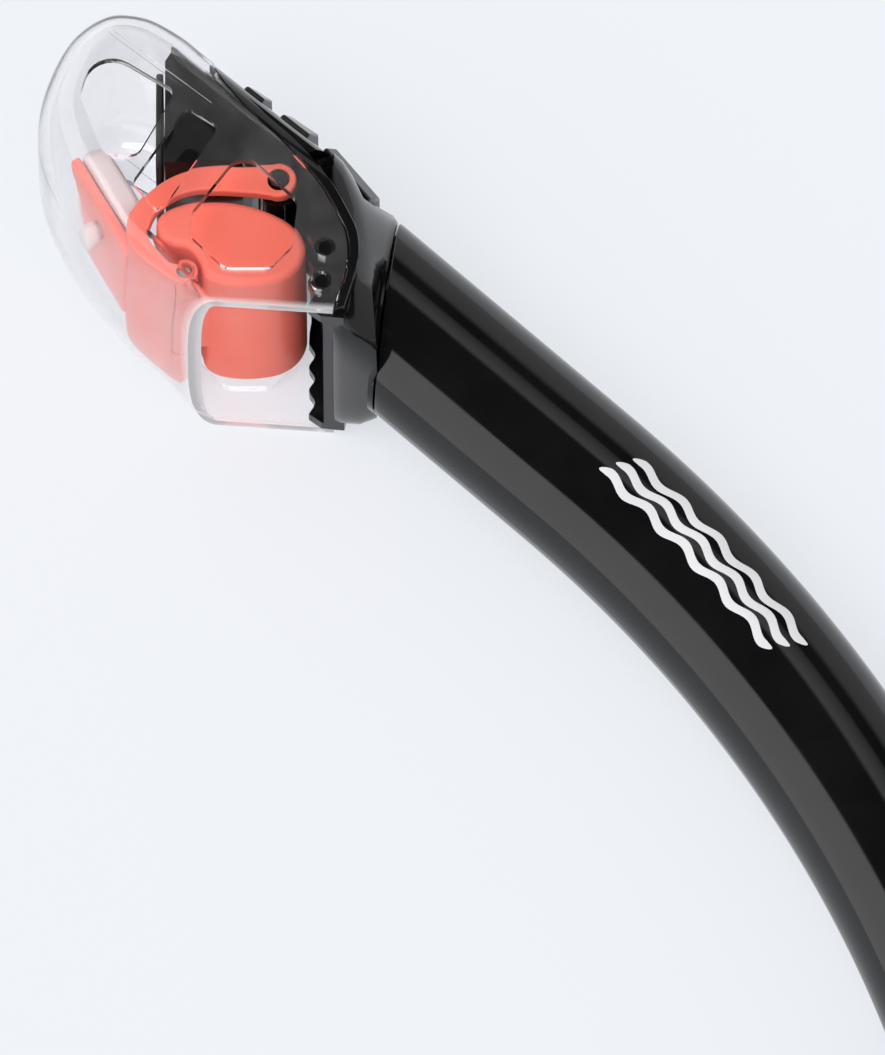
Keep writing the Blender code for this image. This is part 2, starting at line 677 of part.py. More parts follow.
def keeper_collar(mat):
    """Soft band round the tube with a boss for the clip's rivet."""
    half = KEEPER_LENGTH / 2
    place = keeper_place()
    inner_a, inner_b = TUBE_A + GAP + 0.15, TUBE_B + GAP + 0.15
    outer_a, outer_b = inner_a + 1.7, inner_b + 1.5
    rings = [oval(place, outer_a, outer_b, -half), oval(place, outer_a, outer_b, half),
             oval(place, inner_a, inner_b, half), oval(place, inner_a, inner_b, -half)]
    collar = loft("keeper_collar", rings, True)
    x, y, _ = place[0]
    join(collar, cylinder("keeper_boss", (x, y, -12.6), (x, y, BOSS_LEVEL), 5.0))
    cut(collar, cylinder("boss_bore", (x, y, -12.3), (x, y, -20), 2.1, 16))
    return finish(collar, mat)


def keeper_turn(obj):
    """Turn a piece drawn along X and Y so that its length follows the tube."""
    centre, direction, _ = keeper_place()
    angle = math.atan2(direction.y, direction.x)
    return moved(obj, Matrix.Translation(centre * MM) @ Matrix.Rotation(angle, 4, "Z"))


def keeper_clip(mat, axis):
    """Clip with a slot for the mask's strap, its outer bar flat on the surface."""
    half_l, half_w = CLIP_LENGTH / 2, CLIP_WIDTH / 2
    top = BOSS_LEVEL - GAP
    outline = rounded([(-half_l, -half_w), (half_l, -half_w), (half_l, half_w), (-half_l, half_w)], 4.0, 3)
    clip = keeper_turn(prism("keeper_clip", outline, keeper_level(0), top))
    slot_top = keeper_level(CLIP_BAR + STRAP_GAP)
    slot = block("strap_slot", (3 - half_l, -30, keeper_level(CLIP_BAR)), (half_l - 3, 30, slot_top))
    hole = cylinder("clip_hole", (0, 0, -10), (0, 0, slot_top - 1), 2.1, 16)
    recess = cylinder("head_recess", (0, 0, slot_top - 1), (0, 0, slot_top + 1.1), 3.7, 20)
    cut(clip, keeper_turn(slot), keeper_turn(hole), keeper_turn(recess))
    return finish(clip, mat, axis)


def keeper_rivet(mat, axis):
    base = keeper_level(CLIP_BAR + STRAP_GAP)
    rivet = keeper_turn(cylinder("keeper_rivet", (0, 0, base + 0.4), (0, 0, -12.6), 1.7, 16))
    join(rivet, keeper_turn(cylinder("rivet_head", (0, 0, base + 0.05), (0, 0, base + 0.85), 3.4, 20)))
    return finish(rivet, mat, axis)


# ---------------------------------------------------------------- hose, chamber, mouthpiece
def hose_adapter(mat):
    """Rigid ring that turns the oval of the tube into the round of the hose."""
    end = along_tube(TUBE_LENGTH)
    outer = [(-8.0, 11.5, 9.4), (GAP, 11.5, 9.4), (GAP, 14.2, 12.4), (3.0, 14.6, 12.9),
             (9.0, 14.2, 14.2), (ADAPTER_LENGTH - GAP, 14.2, 14.2),
             (ADAPTER_LENGTH - GAP, SPIGOT_R, SPIGOT_R), (ADAPTER_LENGTH + 8.0, SPIGOT_R, SPIGOT_R)]
    inner = [(ADAPTER_LENGTH + 8.0, 8.8, 8.8), (8.0, 8.8, 8.8), (0.0, 10.0, 7.9), (-8.0, 10.0, 7.9)]
    rings = [oval(end, a, b, t, 24) for t, a, b in outer + inner]
    return finish(loft("hose_adapter", rings, True), mat)


def flex_hose(mat):
    """Bellows hose with a plain cuff at each end."""
    folds = HOSE_LENGTH - 2 * CUFF_LENGTH
    outer = [(0.0, HOSE_CUFF_R), (CUFF_LENGTH, HOSE_CUFF_R)]
    for k in range(HOSE_FOLDS):
        start = CUFF_LENGTH + folds * k / HOSE_FOLDS
        pitch = folds / HOSE_FOLDS
        outer += [(start + 0.2 * pitch, HOSE_VALLEY_R), (start + 0.5 * pitch, HOSE_R),
                  (start + 0.8 * pitch, HOSE_R)]
    outer += [(HOSE_LENGTH - CUFF_LENGTH, HOSE_CUFF_R), (HOSE_LENGTH, HOSE_CUFF_R)]
    inner = [(HOSE_LENGTH * k / 8, HOSE_BORE_R) for k in range(8, -1, -1)]
    rings = [oval(along_hose(t), r, r, 0, 20) for t, r in outer + inner]
    return finish(loft("flex_hose", rings, True), mat)


def hose_band(name, middle, mat, axis=None):
    """Clamping band round a cuff of the hose."""
    profile = [(-2.5, HOSE_CUFF_R + 1.5), (2.5, HOSE_CUFF_R + 1.5), (2.5, HOSE_CUFF_R + GAP),
               (-2.5, HOSE_CUFF_R + GAP)]
    rings = [oval(along_hose(middle), r, r, t, 24) for t, r in profile]
    return finish(loft(name, rings, True), mat, axis)


def chamber_frame():
    """Centre, direction and normal of the chamber at its upper face."""
    return along_hose(HOSE_LENGTH)



def branch_frame():
    """Start, direction and cross direction of the branch to the mouthpiece, square to the chamber."""
    centre, direction, normal = chamber_frame()
    return centre + direction * BRANCH_AT, -normal, -direction


def branch_ring(shift, a, b, sides=24, power=2.0):
    start, direction, across = branch_frame()
    return ring(start + direction * shift, across, SIDEWAYS, a, b, sides, power)


def branch_turn(obj):
    """Turn a piece drawn with its length along X and its height along Y to the branch."""
    start, along, across = branch_frame()
    turn = Matrix((along, across, along.cross(across))).transposed().to_4x4()
    return moved(obj, Matrix.Translation(start * MM) @ turn)


def drilled(name, start, direction, low, high, radius):
    """A thin cylinder along a direction, from one distance to another."""
    return cylinder(name, start + direction * low, start + direction * high, radius, 12)


def purge_chamber(mat, axis):
    """Barrel with a neck for the hose, a branch for the mouthpiece and a valve seat below."""
    place = chamber_frame()
    length = CHAMBER_LENGTH
    solid = [(-8.0, SPIGOT_R), (GAP, SPIGOT_R), (GAP, 13.6), (2.5, CHAMBER_R), (length, CHAMBER_R)]
    chamber = loft("purge_chamber", [oval(place, r, r, t, 24) for t, r in solid])
    join(chamber, loft("branch", [branch_ring(4, BRANCH_A, BRANCH_B),
                                  branch_ring(BRANCH_LENGTH, BRANCH_A, BRANCH_B)]))
    room = [(-12.0, 8.8), (2.5, 8.8), (4.5, 13.2), (length - 7.0, 13.2)]
    skirt = [(length - 5.0, 13.2), (length + 5.0, 13.2)]
    cut(chamber, loft("chamber_room", [oval(place, r, r, t, 24) for t, r in room]),
        loft("chamber_skirt", [oval(place, r, r, t, 24) for t, r in skirt]),
        loft("branch_room", [branch_ring(2, BRANCH_A - 1.7, BRANCH_B - 1.7),
                             branch_ring(BRANCH_LENGTH + 9, BRANCH_A - 1.7, BRANCH_B - 1.7)]))
    centre, direction, normal = place
    for k in range(6):
        angle = math.radians(60 * k)
        at = centre + normal * 7.0 * math.cos(angle) + SIDEWAYS * 7.0 * math.sin(angle)
        cut(chamber, drilled(f"seat_hole_{k}", at, direction, length - 9, length, 2.2))
    cut(chamber, drilled("seat_centre", centre, direction, length - 9, length, 1.5))
    return finish(chamber, mat, axis)


def purge_valve(mat, axis):
    """Thin flap under the seat with a stem and a bulb above it."""
    centre, direction, _ = chamber_frame()
    seat = CHAMBER_LENGTH - 5.0
    top = centre + direction * (seat + GAP)
    flap = cylinder("purge_valve", top, top + direction * 0.9, 11.5)
    stem = drilled("valve_stem", centre, direction, seat - 4.6, seat + 0.8, 1.1)
    bulb = drilled("valve_bulb", centre, direction, seat - 6.2, seat - 4.0, 2.2)
    join(flap, stem, bulb)
    return finish(flap, mat, axis)


def purge_cover(mat, axis):
    """Slotted cap that guards the flap."""
    place = chamber_frame()
    centre, direction, normal = place
    length = CHAMBER_LENGTH
    profile = [(length - 4.0, 12.9), (length + GAP, 12.9), (length + GAP, CHAMBER_R),
               (length + 1.6, CHAMBER_R - 0.6), (length + 2.4, CHAMBER_R - 2.5)]
    cover = loft("purge_cover", [oval(place, r, r, t, 24) for t, r in profile])
    inside = [(length - 8.0, 11.8), (length + 0.8, 11.8)]
    cut(cover, loft("cover_room", [oval(place, r, r, t, 24) for t, r in inside]))
    for k in range(6):
        angle = math.radians(60 * k + 30)
        at = centre + normal * 7.4 * math.cos(angle) + SIDEWAYS * 7.4 * math.sin(angle)
        cut(cover, drilled(f"cover_hole_{k}", at, direction, length, length + 8, 2.5))
    return finish(cover, mat, axis)


def mouthpiece(mat, axis):
    """Soft neck over the branch, a curved lip flange and two bite tabs."""
    neck_a, neck_b = BRANCH_A + GAP, BRANCH_B + GAP
    start = 16.0
    profile = [(start, neck_a + 1.8, neck_b + 1.8, 2.0), (26.0, neck_a + 1.8, neck_b + 1.8, 2.0),
               (34.0, 9.0, 14.5, 2.2), (38.0, 9.2, 17.0, 2.4), (40.0, 13.2, 25.0, 2.6),
               (41.0, FLANGE_HALF_Y, FLANGE_HALF_Z, 2.6), (43.0, FLANGE_HALF_Y, FLANGE_HALF_Z, 2.6),
               (43.5, 12.0, 24.0, 2.6), (44.0, 8.4, 17.0, 2.4), (55.0, 8.0, 16.5, 2.6)]
    piece = loft("mouthpiece", [branch_ring(t, a, b, 28, p) for t, a, b, p in profile])
    bore = [(start - 2, neck_a, neck_b, 2.0), (BRANCH_LENGTH + 0.5, neck_a, neck_b, 2.0),
            (33.0, 6.4, 11.6, 2.2), (60.0, 6.2, 13.4, 2.4)]
    cut(piece, loft("mouth_bore", [branch_ring(t, a, b, 24, p) for t, a, b, p in bore]))
    cut(piece, branch_turn(block("bite_gap", (46.5, -30, -6.5), (60, 30, 6.5))))
    for side in (-1, 1):
        low, high = sorted((side * 8.2, side * 17.0))
        join(piece, branch_turn(block(f"bite_stop_{side}", (54.2, -9.6, low), (57.5, 9.6, high))))
    return finish(piece, mat, axis)


def mouthpiece_tie(mat, axis):
    """Plastic tie round the neck, with its square head on the upper side."""
    a, b = BRANCH_A + 2.1 + GAP, BRANCH_B + 2.1 + GAP
    rings = [branch_ring(18.0, a + 1.2, b + 1.2), branch_ring(22.0, a + 1.2, b + 1.2),
             branch_ring(22.0, a, b), branch_ring(18.0, a, b)]
    tie = loft("mouthpiece_tie", rings, True)
    join(tie, branch_turn(block("tie_head", (17.0, a + 0.3, -2.6), (23.0, a + 4.0, 2.6))))
    return finish(tie, mat, axis)


# ---------------------------------------------------------------- whole
def stand_on_origin():
    """Move the root so that the bottom centre of all parts' box is at the world's origin."""
    bpy.context.view_layer.update()
    graph = bpy.context.evaluated_depsgraph_get()
    corners = []
    for obj in PARTS.objects:
        if obj.type == "MESH":
            shape = obj.evaluated_get(graph)
            corners += [shape.matrix_world @ v.co for v in shape.data.vertices]
    low = [min(c[k] for c in corners) for k in range(3)]
    high = [max(c[k] for c in corners) for k in range(3)]
    ROOT.location = (-(low[0] + high[0]) / 2, -(low[1] + high[1]) / 2, -low[2])
    bpy.context.view_layer.update()


def build():
    clear = material("clear_polycarbonate", (0.93, 0.95, 0.96), 0.06, alpha=0.35)
    black = material("gloss_black", (0.012, 0.012, 0.014), 0.18)
    grey = material("black_rubber", (0.03, 0.03, 0.032), 0.6)
    coral = material("coral_plastic", (0.95, 0.16, 0.11), 0.38)
    milky = material("milky_silicone", (0.86, 0.85, 0.84), 0.45)
    dark_silicone = material("black_silicone", (0.02, 0.02, 0.022), 0.5)
    steel = material("pin_steel", (0.62, 0.62, 0.63), 0.3, metallic=1.0)

    keeper_centre = keeper_place()[0]
    hose_middle = along_hose(HOSE_LENGTH / 2)[0]
    valve_centre = chamber_frame()[0] + chamber_frame()[1] * CHAMBER_LENGTH
    arm_axis = new_empty("arm_axis", (0, 0, 0), ROOT)
    float_axis = new_empty("float_axis", (*KNUCKLE, 0), ROOT)
    keeper_axis = new_empty("keeper_axis", (keeper_centre.x, keeper_centre.y, BOSS_LEVEL), ROOT)
    hose_axis = new_empty("hose_axis", hose_middle, ROOT)
    purge_axis = new_empty("purge_axis", valve_centre, ROOT)

    splash_hood(clear)
    valve_housing(black)
    port_gasket(grey)
    float_arm(coral, arm_axis)
    arm_pin("arm_pin_near", 1, black)
    arm_pin("arm_pin_far", -1, black)
    seal_pad(milky, arm_axis)
    float_body(coral, float_axis)
    float_cap(coral, float_axis)
    float_pin(steel, arm_axis)
    main_tube(black)
    tube_seal(grey)
    keeper_collar(grey)
    keeper_clip(black, keeper_axis)
    keeper_rivet(black, keeper_axis)
    hose_adapter(black)
    flex_hose(dark_silicone)
    hose_band("hose_band_upper", CUFF_LENGTH / 2, black)
    hose_band("hose_band_lower", HOSE_LENGTH - CUFF_LENGTH / 2, black, hose_axis)
    purge_chamber(black, hose_axis)
    purge_valve(dark_silicone, purge_axis)
    purge_cover(black, hose_axis)
    mouthpiece(dark_silicone, hose_axis)
    mouthpiece_tie(black, hose_axis)
    stand_on_origin()


build()
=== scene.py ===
"""Looks of the dry-top snorkel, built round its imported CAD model.

Shapes are drawn in millimetres in a drawing frame whose origin is the pivot of the float
arm, in the middle plane. X and Y lie in the plane of the tube's curve and Z is sideways.
place() moves each finished mesh into the row frame, in metres.
"""

import math

import bmesh
import bpy
from mathutils import Matrix, Vector


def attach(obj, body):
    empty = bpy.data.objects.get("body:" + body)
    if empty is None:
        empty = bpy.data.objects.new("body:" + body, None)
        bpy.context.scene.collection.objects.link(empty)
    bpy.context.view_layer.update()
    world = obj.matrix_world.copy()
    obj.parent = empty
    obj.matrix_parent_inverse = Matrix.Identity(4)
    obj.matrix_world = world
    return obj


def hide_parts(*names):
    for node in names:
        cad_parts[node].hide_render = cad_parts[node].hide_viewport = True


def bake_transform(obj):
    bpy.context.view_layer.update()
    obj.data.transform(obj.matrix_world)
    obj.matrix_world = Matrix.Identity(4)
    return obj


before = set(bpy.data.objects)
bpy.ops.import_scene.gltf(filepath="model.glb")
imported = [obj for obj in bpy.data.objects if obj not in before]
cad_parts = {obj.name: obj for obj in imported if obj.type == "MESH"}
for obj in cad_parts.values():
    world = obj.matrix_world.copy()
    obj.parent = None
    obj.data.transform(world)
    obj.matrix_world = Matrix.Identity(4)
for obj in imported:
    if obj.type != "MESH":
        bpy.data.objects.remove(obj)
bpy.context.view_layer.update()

TO_ROW = Matrix.Scale(0.001, 4) @ Matrix.Translation((-50.559, 162.634, 21.8))
SIDEWAYS = Vector((0, 0, 1))
GAP = 0.3  # clearance between pieces that touch
THROUGH = 30.0  # beyond both sides of every piece

TUBE_A, TUBE_B, TUBE_WALL = 13.7, 11.6, 1.8
TUBE_START, TUBE_ANGLE = (18.0, -16.8), 43.5
TUBE_STRAIGHT, TUBE_BEND, TUBE_END_ANGLE = 43.0, 247.0, 86.0
SEAM_LEAN, LEAN_LENGTH = 7.4, 16.0
HOOD_HALF, HOOD_WALL = 21.8, 1.5
HOOD_DEPTH, MOUTH_DEPTH, HOOD_POWER, MOUTH_LEVEL = 7.4, 3.2, 3.6, 26.5
RIB = ((-29.4, 27.2), (-11.4, 12.2))
ARM_HALF, LEG_THICK, EYE_R, EYE_HOLE_R, PIN_R = 16.9, 2.2, 3.0, 1.85, 1.45
CLOSE_ANGLE, PLATE_BACK, PLATE_THICK, PORT_X = 29.0, -27.0, 1.8, -18.9
KNUCKLE, KNUCKLE_R, KNUCKLE_BORE_R, FLOAT_HALF, FLOAT_WALL = (-15.4, -17.0), 2.1, 1.25, 17.0, 1.6
STEM_AT, STEM_R, STEM_HOLE_R = 14.0, 1.1, 1.5
CORE_HALF, WING_HALF, DUCT_HALF, PEG_R = 14.2, 19.9, 11.2, 1.4
PEGS = ((7.75, -15.0), (7.1, -21.3))
SPINE_START, SPINE_END = (-11.0, 24.5), (20.0, -3.0)
# Fins across the back: distance down the spine, half width and height at each end of a fin
FINS = (((8.5, 16.5, 0.7), (12.5, 16.5, 1.0)),
        ((16.5, 16.5, 0.9), (22.5, 16.5, 1.3)),
        ((26.0, 16.5, 1.3), (36.0, 10.5, 1.4)))
SEAL_A, SEAL_B = 11.5, 9.4  # half widths of what seals in the tube's ends
KEEPER_ANGLE, KEEPER_LENGTH = 77.0, 15.0
CLIP_WIDTH, CLIP_LENGTH, STRAP_GAP, CLIP_BAR, BOSS_LEVEL = 22.0, 27.0, 4.3, 1.6, -13.7
HOSE_R, HOSE_VALLEY_R, HOSE_BORE_R, HOSE_CUFF_R = 13.8, 11.9, 10.7, 12.9
HOSE_LENGTH, HOSE_END_ANGLE, HOSE_FOLDS, CUFF_LENGTH = 92.0, 104.0, 10, 9.0
LIFT, ADAPTER_LENGTH, SPIGOT_R = 5.4, 12.3, 10.3
CHAMBER_R, CHAMBER_LENGTH, CHAMBER_BORE_R, CHAMBER_NECK_R, SEAT_DEPTH = 15.0, 42.0, 13.2, 8.8, 5.0
BRANCH_A, BRANCH_B, BRANCH_WALL, BRANCH_LENGTH, BRANCH_AT = 11.0, 13.0, 1.7, 24.0, 19.0
FLANGE_HALF_Z, FLANGE_HALF_Y = 27.0, 14.5


# ---- outlines
def rounded(corners, radius=0.0, steps=7):
    """A closed polygon whose corners are arcs, of the given radius or of each corner's own."""
    out = []
    count = len(corners)
    for i, corner in enumerate(corners):
        here = Vector(corner[:2])
        bend = corner[2] if len(corner) > 2 else radius
        before = (Vector(corners[i - 1][:2]) - here).normalized()
        after = (Vector(corners[(i + 1) % count][:2]) - here).normalized()
        half = before.angle(after) / 2
        centre = here + (before + after).normalized() * bend / math.sin(half)
        start = here + before * bend / math.tan(half) - centre
        sweep = math.pi - 2 * half
        turn = 1 if before.x * after.y - before.y * after.x < 0 else -1
        for k in range(steps + 1):
            out.append(tuple(centre + Matrix.Rotation(turn * sweep * k / steps, 2) @ start))
    return out


def smooth(points, steps, closed=False):
    """Points of a Catmull-Rom curve through the given ones."""
    pts = [Vector(p) for p in points]
    count = len(pts)
    out = []
    for i in range(count if closed else count - 1):
        a = pts[i - 1] if closed or i else pts[0] * 2 - pts[1]
        b = pts[i]
        c = pts[(i + 1) % count]
        d = pts[(i + 2) % count] if closed or i + 2 < count else c * 2 - b
        for k in range(steps):
            t = k / steps
            out.append(tuple(0.5 * ((2 * b) + (c - a) * t + (2 * a - 5 * b + 4 * c - d) * t**2
                                    + (3 * b - a - 3 * c + d) * t**3)))
    if not closed:
        out.append(tuple(pts[-1]))
    return out


def area(points):
    return sum(p[0] * q[1] - q[0] * p[1] for p, q in zip(points, points[1:] + points[:1])) / 2


def inset(points, distance):
    """The outline moved inwards by distance, or by one distance for each point."""
    side = 1 if area(points) > 0 else -1
    out = []
    count = len(points)
    steps = distance if isinstance(distance, list) else [distance] * count
    for i in range(count):
        before = (Vector(points[i]) - Vector(points[i - 1])).normalized()
        after = (Vector(points[(i + 1) % count]) - Vector(points[i])).normalized()
        along = (before + after).normalized()
        normal = Vector((-along.y, along.x)) * side
        out.append(tuple(Vector(points[i]) + normal * steps[i] / max(0.5, along.dot(after))))
    return out


def circle(centre, radius, steps=32):
    turn = 2 * math.pi / steps
    return [(centre[0] + radius * math.cos(turn * k), centre[1] + radius * math.sin(turn * k))
            for k in range(steps)]


def arc(radius, start, step, count):
    """Points of an arc round the arm's pivot, with start and step in degrees."""
    angles = [math.radians(start + step * k) for k in range(count)]
    return [(radius * math.cos(a), radius * math.sin(a)) for a in angles]


def shifted(line, distance):
    """Two points of a line moved sideways, to its left as it runs."""
    a, b = Vector(line[0]), Vector(line[1])
    along = (b - a).normalized()
    step = Vector((-along.y, along.x)) * distance
    return tuple(a + step), tuple(b + step)


def offset(points, step):
    return [tuple(Vector(p) + Vector(step)) for p in points]


def drawn_in(points, middle, distance):
    return [tuple(Vector(p) + (middle - Vector(p)).normalized() * distance) for p in points]


HOOD_FRONT = smooth([
    (-13.6, -26.5), (-21.0, -18.8), (-28.0, -12.0), (-34.0, -4.0), (-38.4, 5.0), (-40.1, 13.5),
    (-38.6, 21.0), (-34.8, 28.2), (-28.6, 32.4), (-21.6, 32.0), (-15.6, 28.6), (-11, 24.5)], 9)
HOOD_OUTLINE = HOOD_FRONT + [(4.5, 10.75), (20, -3), (27, -16), (27, -46), (5, -46)]
HOOD_EDGE = smooth([
    (-8.0, 31), (-10.9, 22.5), (-9.6, 17), (-4.5, 10), (0, 5.4), (4.5, -0.2), (7.4, -4.5), (9.6, -9),
    (10.9, -12.1), (11.4, -15.3), (11.2, -18.5), (10.4, -21.8), (9.0, -26.8)], 6)
# Corners of each window with the radius of each corner
WINDOWS = {
    "rear_window": rounded([
        (-30.2, 23.0, 4.6), (-17.0, 14.2, 1.8), (-23.3, 2.2, 2.2), (-28.8, 2.2, 3.2), (-33.0, 13.4, 5.0)]),
    "slot_window": rounded([
        (-15.3, 11.2, 1.4), (-9.8, 7.6, 1.4), (-19.6, -8.8, 1.4), (-24.2, -2.9, 1.4)]),
    "shield_window": rounded([
        (-6.0, 3.2, 3.2), (3.2, -6.2, 3.0), (2.3, -14.9, 3.0), (-1.2, -18.9, 2.4),
        (-8.9, -18.9, 3.0), (-14.9, -12.6, 3.0), (-14.2, -8.4, 3.0)]),
}
ARM_OUTER = smooth([
    (-5, 2.7), (-10.4, 2.6), (-15, 1.9), (-18.6, 0.2), (-21.9, -2.6), (-24.3, -5.9), (-24.9, -9.1),
    (-24.1, -11.8), (-22.0, -14.2), (-19.4, -16.5), (-17.0, -18.6)], 6)
ARM_INNER = smooth([
    (-17.6, -15.2), (-19.4, -13.2), (-20.9, -11.2), (-21.2, -8.9), (-20.0, -6.0), (-17.6, -3.7),
    (-14.5, -2.3), (-10, -1.9), (-4, -2.3)], 6)
FLOAT_OUTLINE = smooth([
    (4.6, -13.4), (4.0, -10.6), (2.2, -8.0), (-0.6, -6.1), (-4.5, -4.5), (-8.7, -3.7), (-12.9, -3.8),
    (-16.8, -4.8), (-19.4, -6.4), (-20.2, -8.6), (-19.4, -10.9), (-17.2, -12.2), (-14.6, -13.0),
    (-13.0, -15.2), (-12.2, -17.6), (-10.4, -19.0), (-7.3, -19.7), (-3.5, -19.7), (0.5, -18.8),
    (3.3, -16.6)], 6, True)


# ---- meshes
def add_object(name, data):
    obj = bpy.data.objects.new(name, data)
    bpy.context.scene.collection.objects.link(obj)
    return obj


def mesh_object(name, bm):
    bmesh.ops.recalc_face_normals(bm, faces=bm.faces)
    mesh = bpy.data.meshes.new(name)
    bm.to_mesh(mesh)
    bm.free()
    return add_object(name, mesh)


def loft(name, rings, hollow=False):
    """Closed rings joined one to the next. A hollow loft joins its last ring to its first."""
    bm = bmesh.new()
    rows = [[bm.verts.new(Vector(p)) for p in points] for points in rings]
    pairs = list(zip(rows, rows[1:]))
    if hollow:
        pairs.append((rows[-1], rows[0]))
    else:
        bm.faces.new(rows[0])
        bm.faces.new(rows[-1])
    for first, second in pairs:
        for k in range(len(first)):
            n = (k + 1) % len(first)
            bm.faces.new((first[k], first[n], second[n], second[k]))
    return mesh_object(name, bm)


def prism(name, outline, low, high, edge=0.0, steps=3):
    """A flat outline extruded from low to high along Z, with rounded rims where edge is given."""
    levels = [(low, 0.0), (high, 0.0)]
    if edge:
        arc = [math.radians(90 * k / steps) for k in range(steps + 1)]
        levels = [(low + edge * (1 - math.cos(a)), edge * (1 - math.sin(a))) for a in arc]
        levels += [(high - edge * (1 - math.sin(a)), edge * (1 - math.cos(a))) for a in arc]
    return loft(name, [[(x, y, z) for x, y in inset(outline, d)] for z, d in levels])


def ring(centre, u, v, a, b, sides, power=2.0):
    """An oval of half widths a along u and b along v. A power over 2 squares its corners."""
    out = []
    for k in range(sides):
        angle = 2 * math.pi * k / sides
        c, s = math.cos(angle), math.sin(angle)
        x = math.copysign(abs(c) ** (2 / power), c) * a
        y = math.copysign(abs(s) ** (2 / power), s) * b
        out.append(centre + u * x + v * y)
    return out


def soft(profile, closed=False):
    """Rows of (length, half width, half width, corner radius) with their corners rounded."""
    rows = [Vector(row[:3]) for row in profile]
    steps = 4
    out = []
    last = len(rows) - 1
    for i, here in enumerate(rows):
        radius = profile[i][3] if len(profile[i]) > 3 else 0
        if not radius or (not closed and i in (0, last)):
            out.append(here)
            continue
        before, after = rows[i - 1] - here, rows[(i + 1) % (last + 1)] - here
        reach = min(radius, before.length * 0.48, after.length * 0.48)
        a, c = here + before.normalized() * reach, here + after.normalized() * reach
        for k in range(steps + 1):
            t = k / steps
            out.append(a * (1 - t) ** 2 + here * 2 * t * (1 - t) + c * t**2)
    return out


def dense(rows, step):
    """A closed profile with more rows where two are further apart than step along the axis."""
    out = []
    for a, b in zip(rows, rows[1:] + rows[:1]):
        count = max(1, round(abs(b.x - a.x) / step))
        out += [a.lerp(b, k / count) for k in range(count)]
    return out


def cylinder(name, start, end, radius, edge=0.0):
    """A round bar between two points, with rounded ends where edge is given."""
    a, b = Vector(start), Vector(end)
    along = (b - a).normalized()
    u = along.orthogonal().normalized()
    v = along.cross(u)
    length = (b - a).length
    rows = [(0, radius, radius, edge), (length, radius, radius, edge)]
    if edge:
        rows = [(0, 0.001, 0.001), *rows, (length, 0.001, 0.001)]
    return loft(name, [ring(a + along * r.x, u, v, r.y, r.z, 40) for r in soft(rows)])


def crossbar(name, where, half, radius, edge=0.0):
    """A cylinder square to the middle plane, of a half length."""
    return cylinder(name, (*where, -half), (*where, half), radius, edge)


def rod(name, start, direction, low, high, radius, edge=0.0):
    """A cylinder along a direction, from one distance to another."""
    return cylinder(name, start + direction * low, start + direction * high, radius, edge)


def block(name, low, high, edge):
    """A box between two corners with rounded edges."""
    a, b = Vector(low), Vector(high)
    bm = bmesh.new()
    bmesh.ops.create_cube(bm, size=1)
    bmesh.ops.scale(bm, vec=b - a, verts=bm.verts)
    bmesh.ops.translate(bm, vec=(a + b) / 2, verts=bm.verts)
    if edge:
        bmesh.ops.bevel(bm, geom=bm.edges[:], offset=edge, segments=3, profile=0.5, affect="EDGES")
    return mesh_object(name, bm)


def apply(obj):
    """The object's modifiers become part of its mesh."""
    bpy.context.view_layer.update()
    mesh = bpy.data.meshes.new_from_object(obj.evaluated_get(bpy.context.evaluated_depsgraph_get()))
    obj.modifiers.clear()
    obj.data = mesh
    return obj


def combine(obj, others, operation):
    """Cut, join or intersect obj with other objects, which are used up."""
    for other in others:
        boolean = obj.modifiers.new(other.name, "BOOLEAN")
        boolean.operation = operation
        boolean.solver = "EXACT"
        boolean.object = other
    apply(obj)
    for other in others:
        bpy.data.objects.remove(other)
    return obj


def cut(obj, *others):
    return combine(obj, others, "DIFFERENCE")


def join(obj, *others):
    return combine(obj, others, "UNION")


def bevel(obj, width):
    mod = obj.modifiers.new("rounded_edges", "BEVEL")
    mod.width = width
    mod.segments = 3
    mod.limit_method = "ANGLE"
    mod.angle_limit = math.radians(50)
    mod.use_clamp_overlap = True
    return apply(obj)


def remesh(obj, size, passes):
    """An even skin over the whole solid, with its edges softened."""
    mod = obj.modifiers.new("skin", "REMESH")
    mod.mode = "VOXEL"
    mod.voxel_size = size
    even = obj.modifiers.new("even", "SMOOTH")
    even.factor = 0.5
    even.iterations = passes
    return apply(obj)


def moved(obj, matrix):
    obj.data.transform(matrix)
    return obj


def place(obj, body, nodes, mat, sharp=38):
    """Into the row frame, with its material, its body and the CAD nodes it stands for."""
    obj.data.transform(TO_ROW)
    obj.data.materials.clear()
    obj.data.materials.append(mat)
    obj.data.shade_smooth()
    obj.data.set_sharp_from_angle(angle=math.radians(sharp))
    even = obj.modifiers.new("even_normals", "WEIGHTED_NORMAL")
    even.keep_sharp = True
    if isinstance(body, str):
        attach(obj, body)
    else:
        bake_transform(obj)
    if nodes:
        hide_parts(*nodes)
    return obj


# ---- axis of the tube and hose
def frame_at(x, y, z, slope):
    direction = Vector((math.cos(slope), -math.sin(slope), 0))
    normal = Vector((math.sin(slope), math.cos(slope), 0))
    return Vector((x, y, z)), direction, normal


def along_tube(s):
    """Centre, direction and in-plane normal of the tube at a length s from the housing."""
    start = math.radians(TUBE_ANGLE)
    run = min(s, TUBE_STRAIGHT)
    x = TUBE_START[0] + run * math.cos(start)
    y = TUBE_START[1] - run * math.sin(start)
    slope = start + max(0.0, s - TUBE_STRAIGHT) / TUBE_BEND
    x += TUBE_BEND * (math.sin(slope) - math.sin(start))
    y -= TUBE_BEND * (math.cos(start) - math.cos(slope))
    return frame_at(x, y, 0, slope)


def length_at(angle):
    """The length along the tube where its axis slopes by an angle in degrees."""
    return TUBE_STRAIGHT + TUBE_BEND * math.radians(angle - TUBE_ANGLE)


TUBE_LENGTH = length_at(TUBE_END_ANGLE)


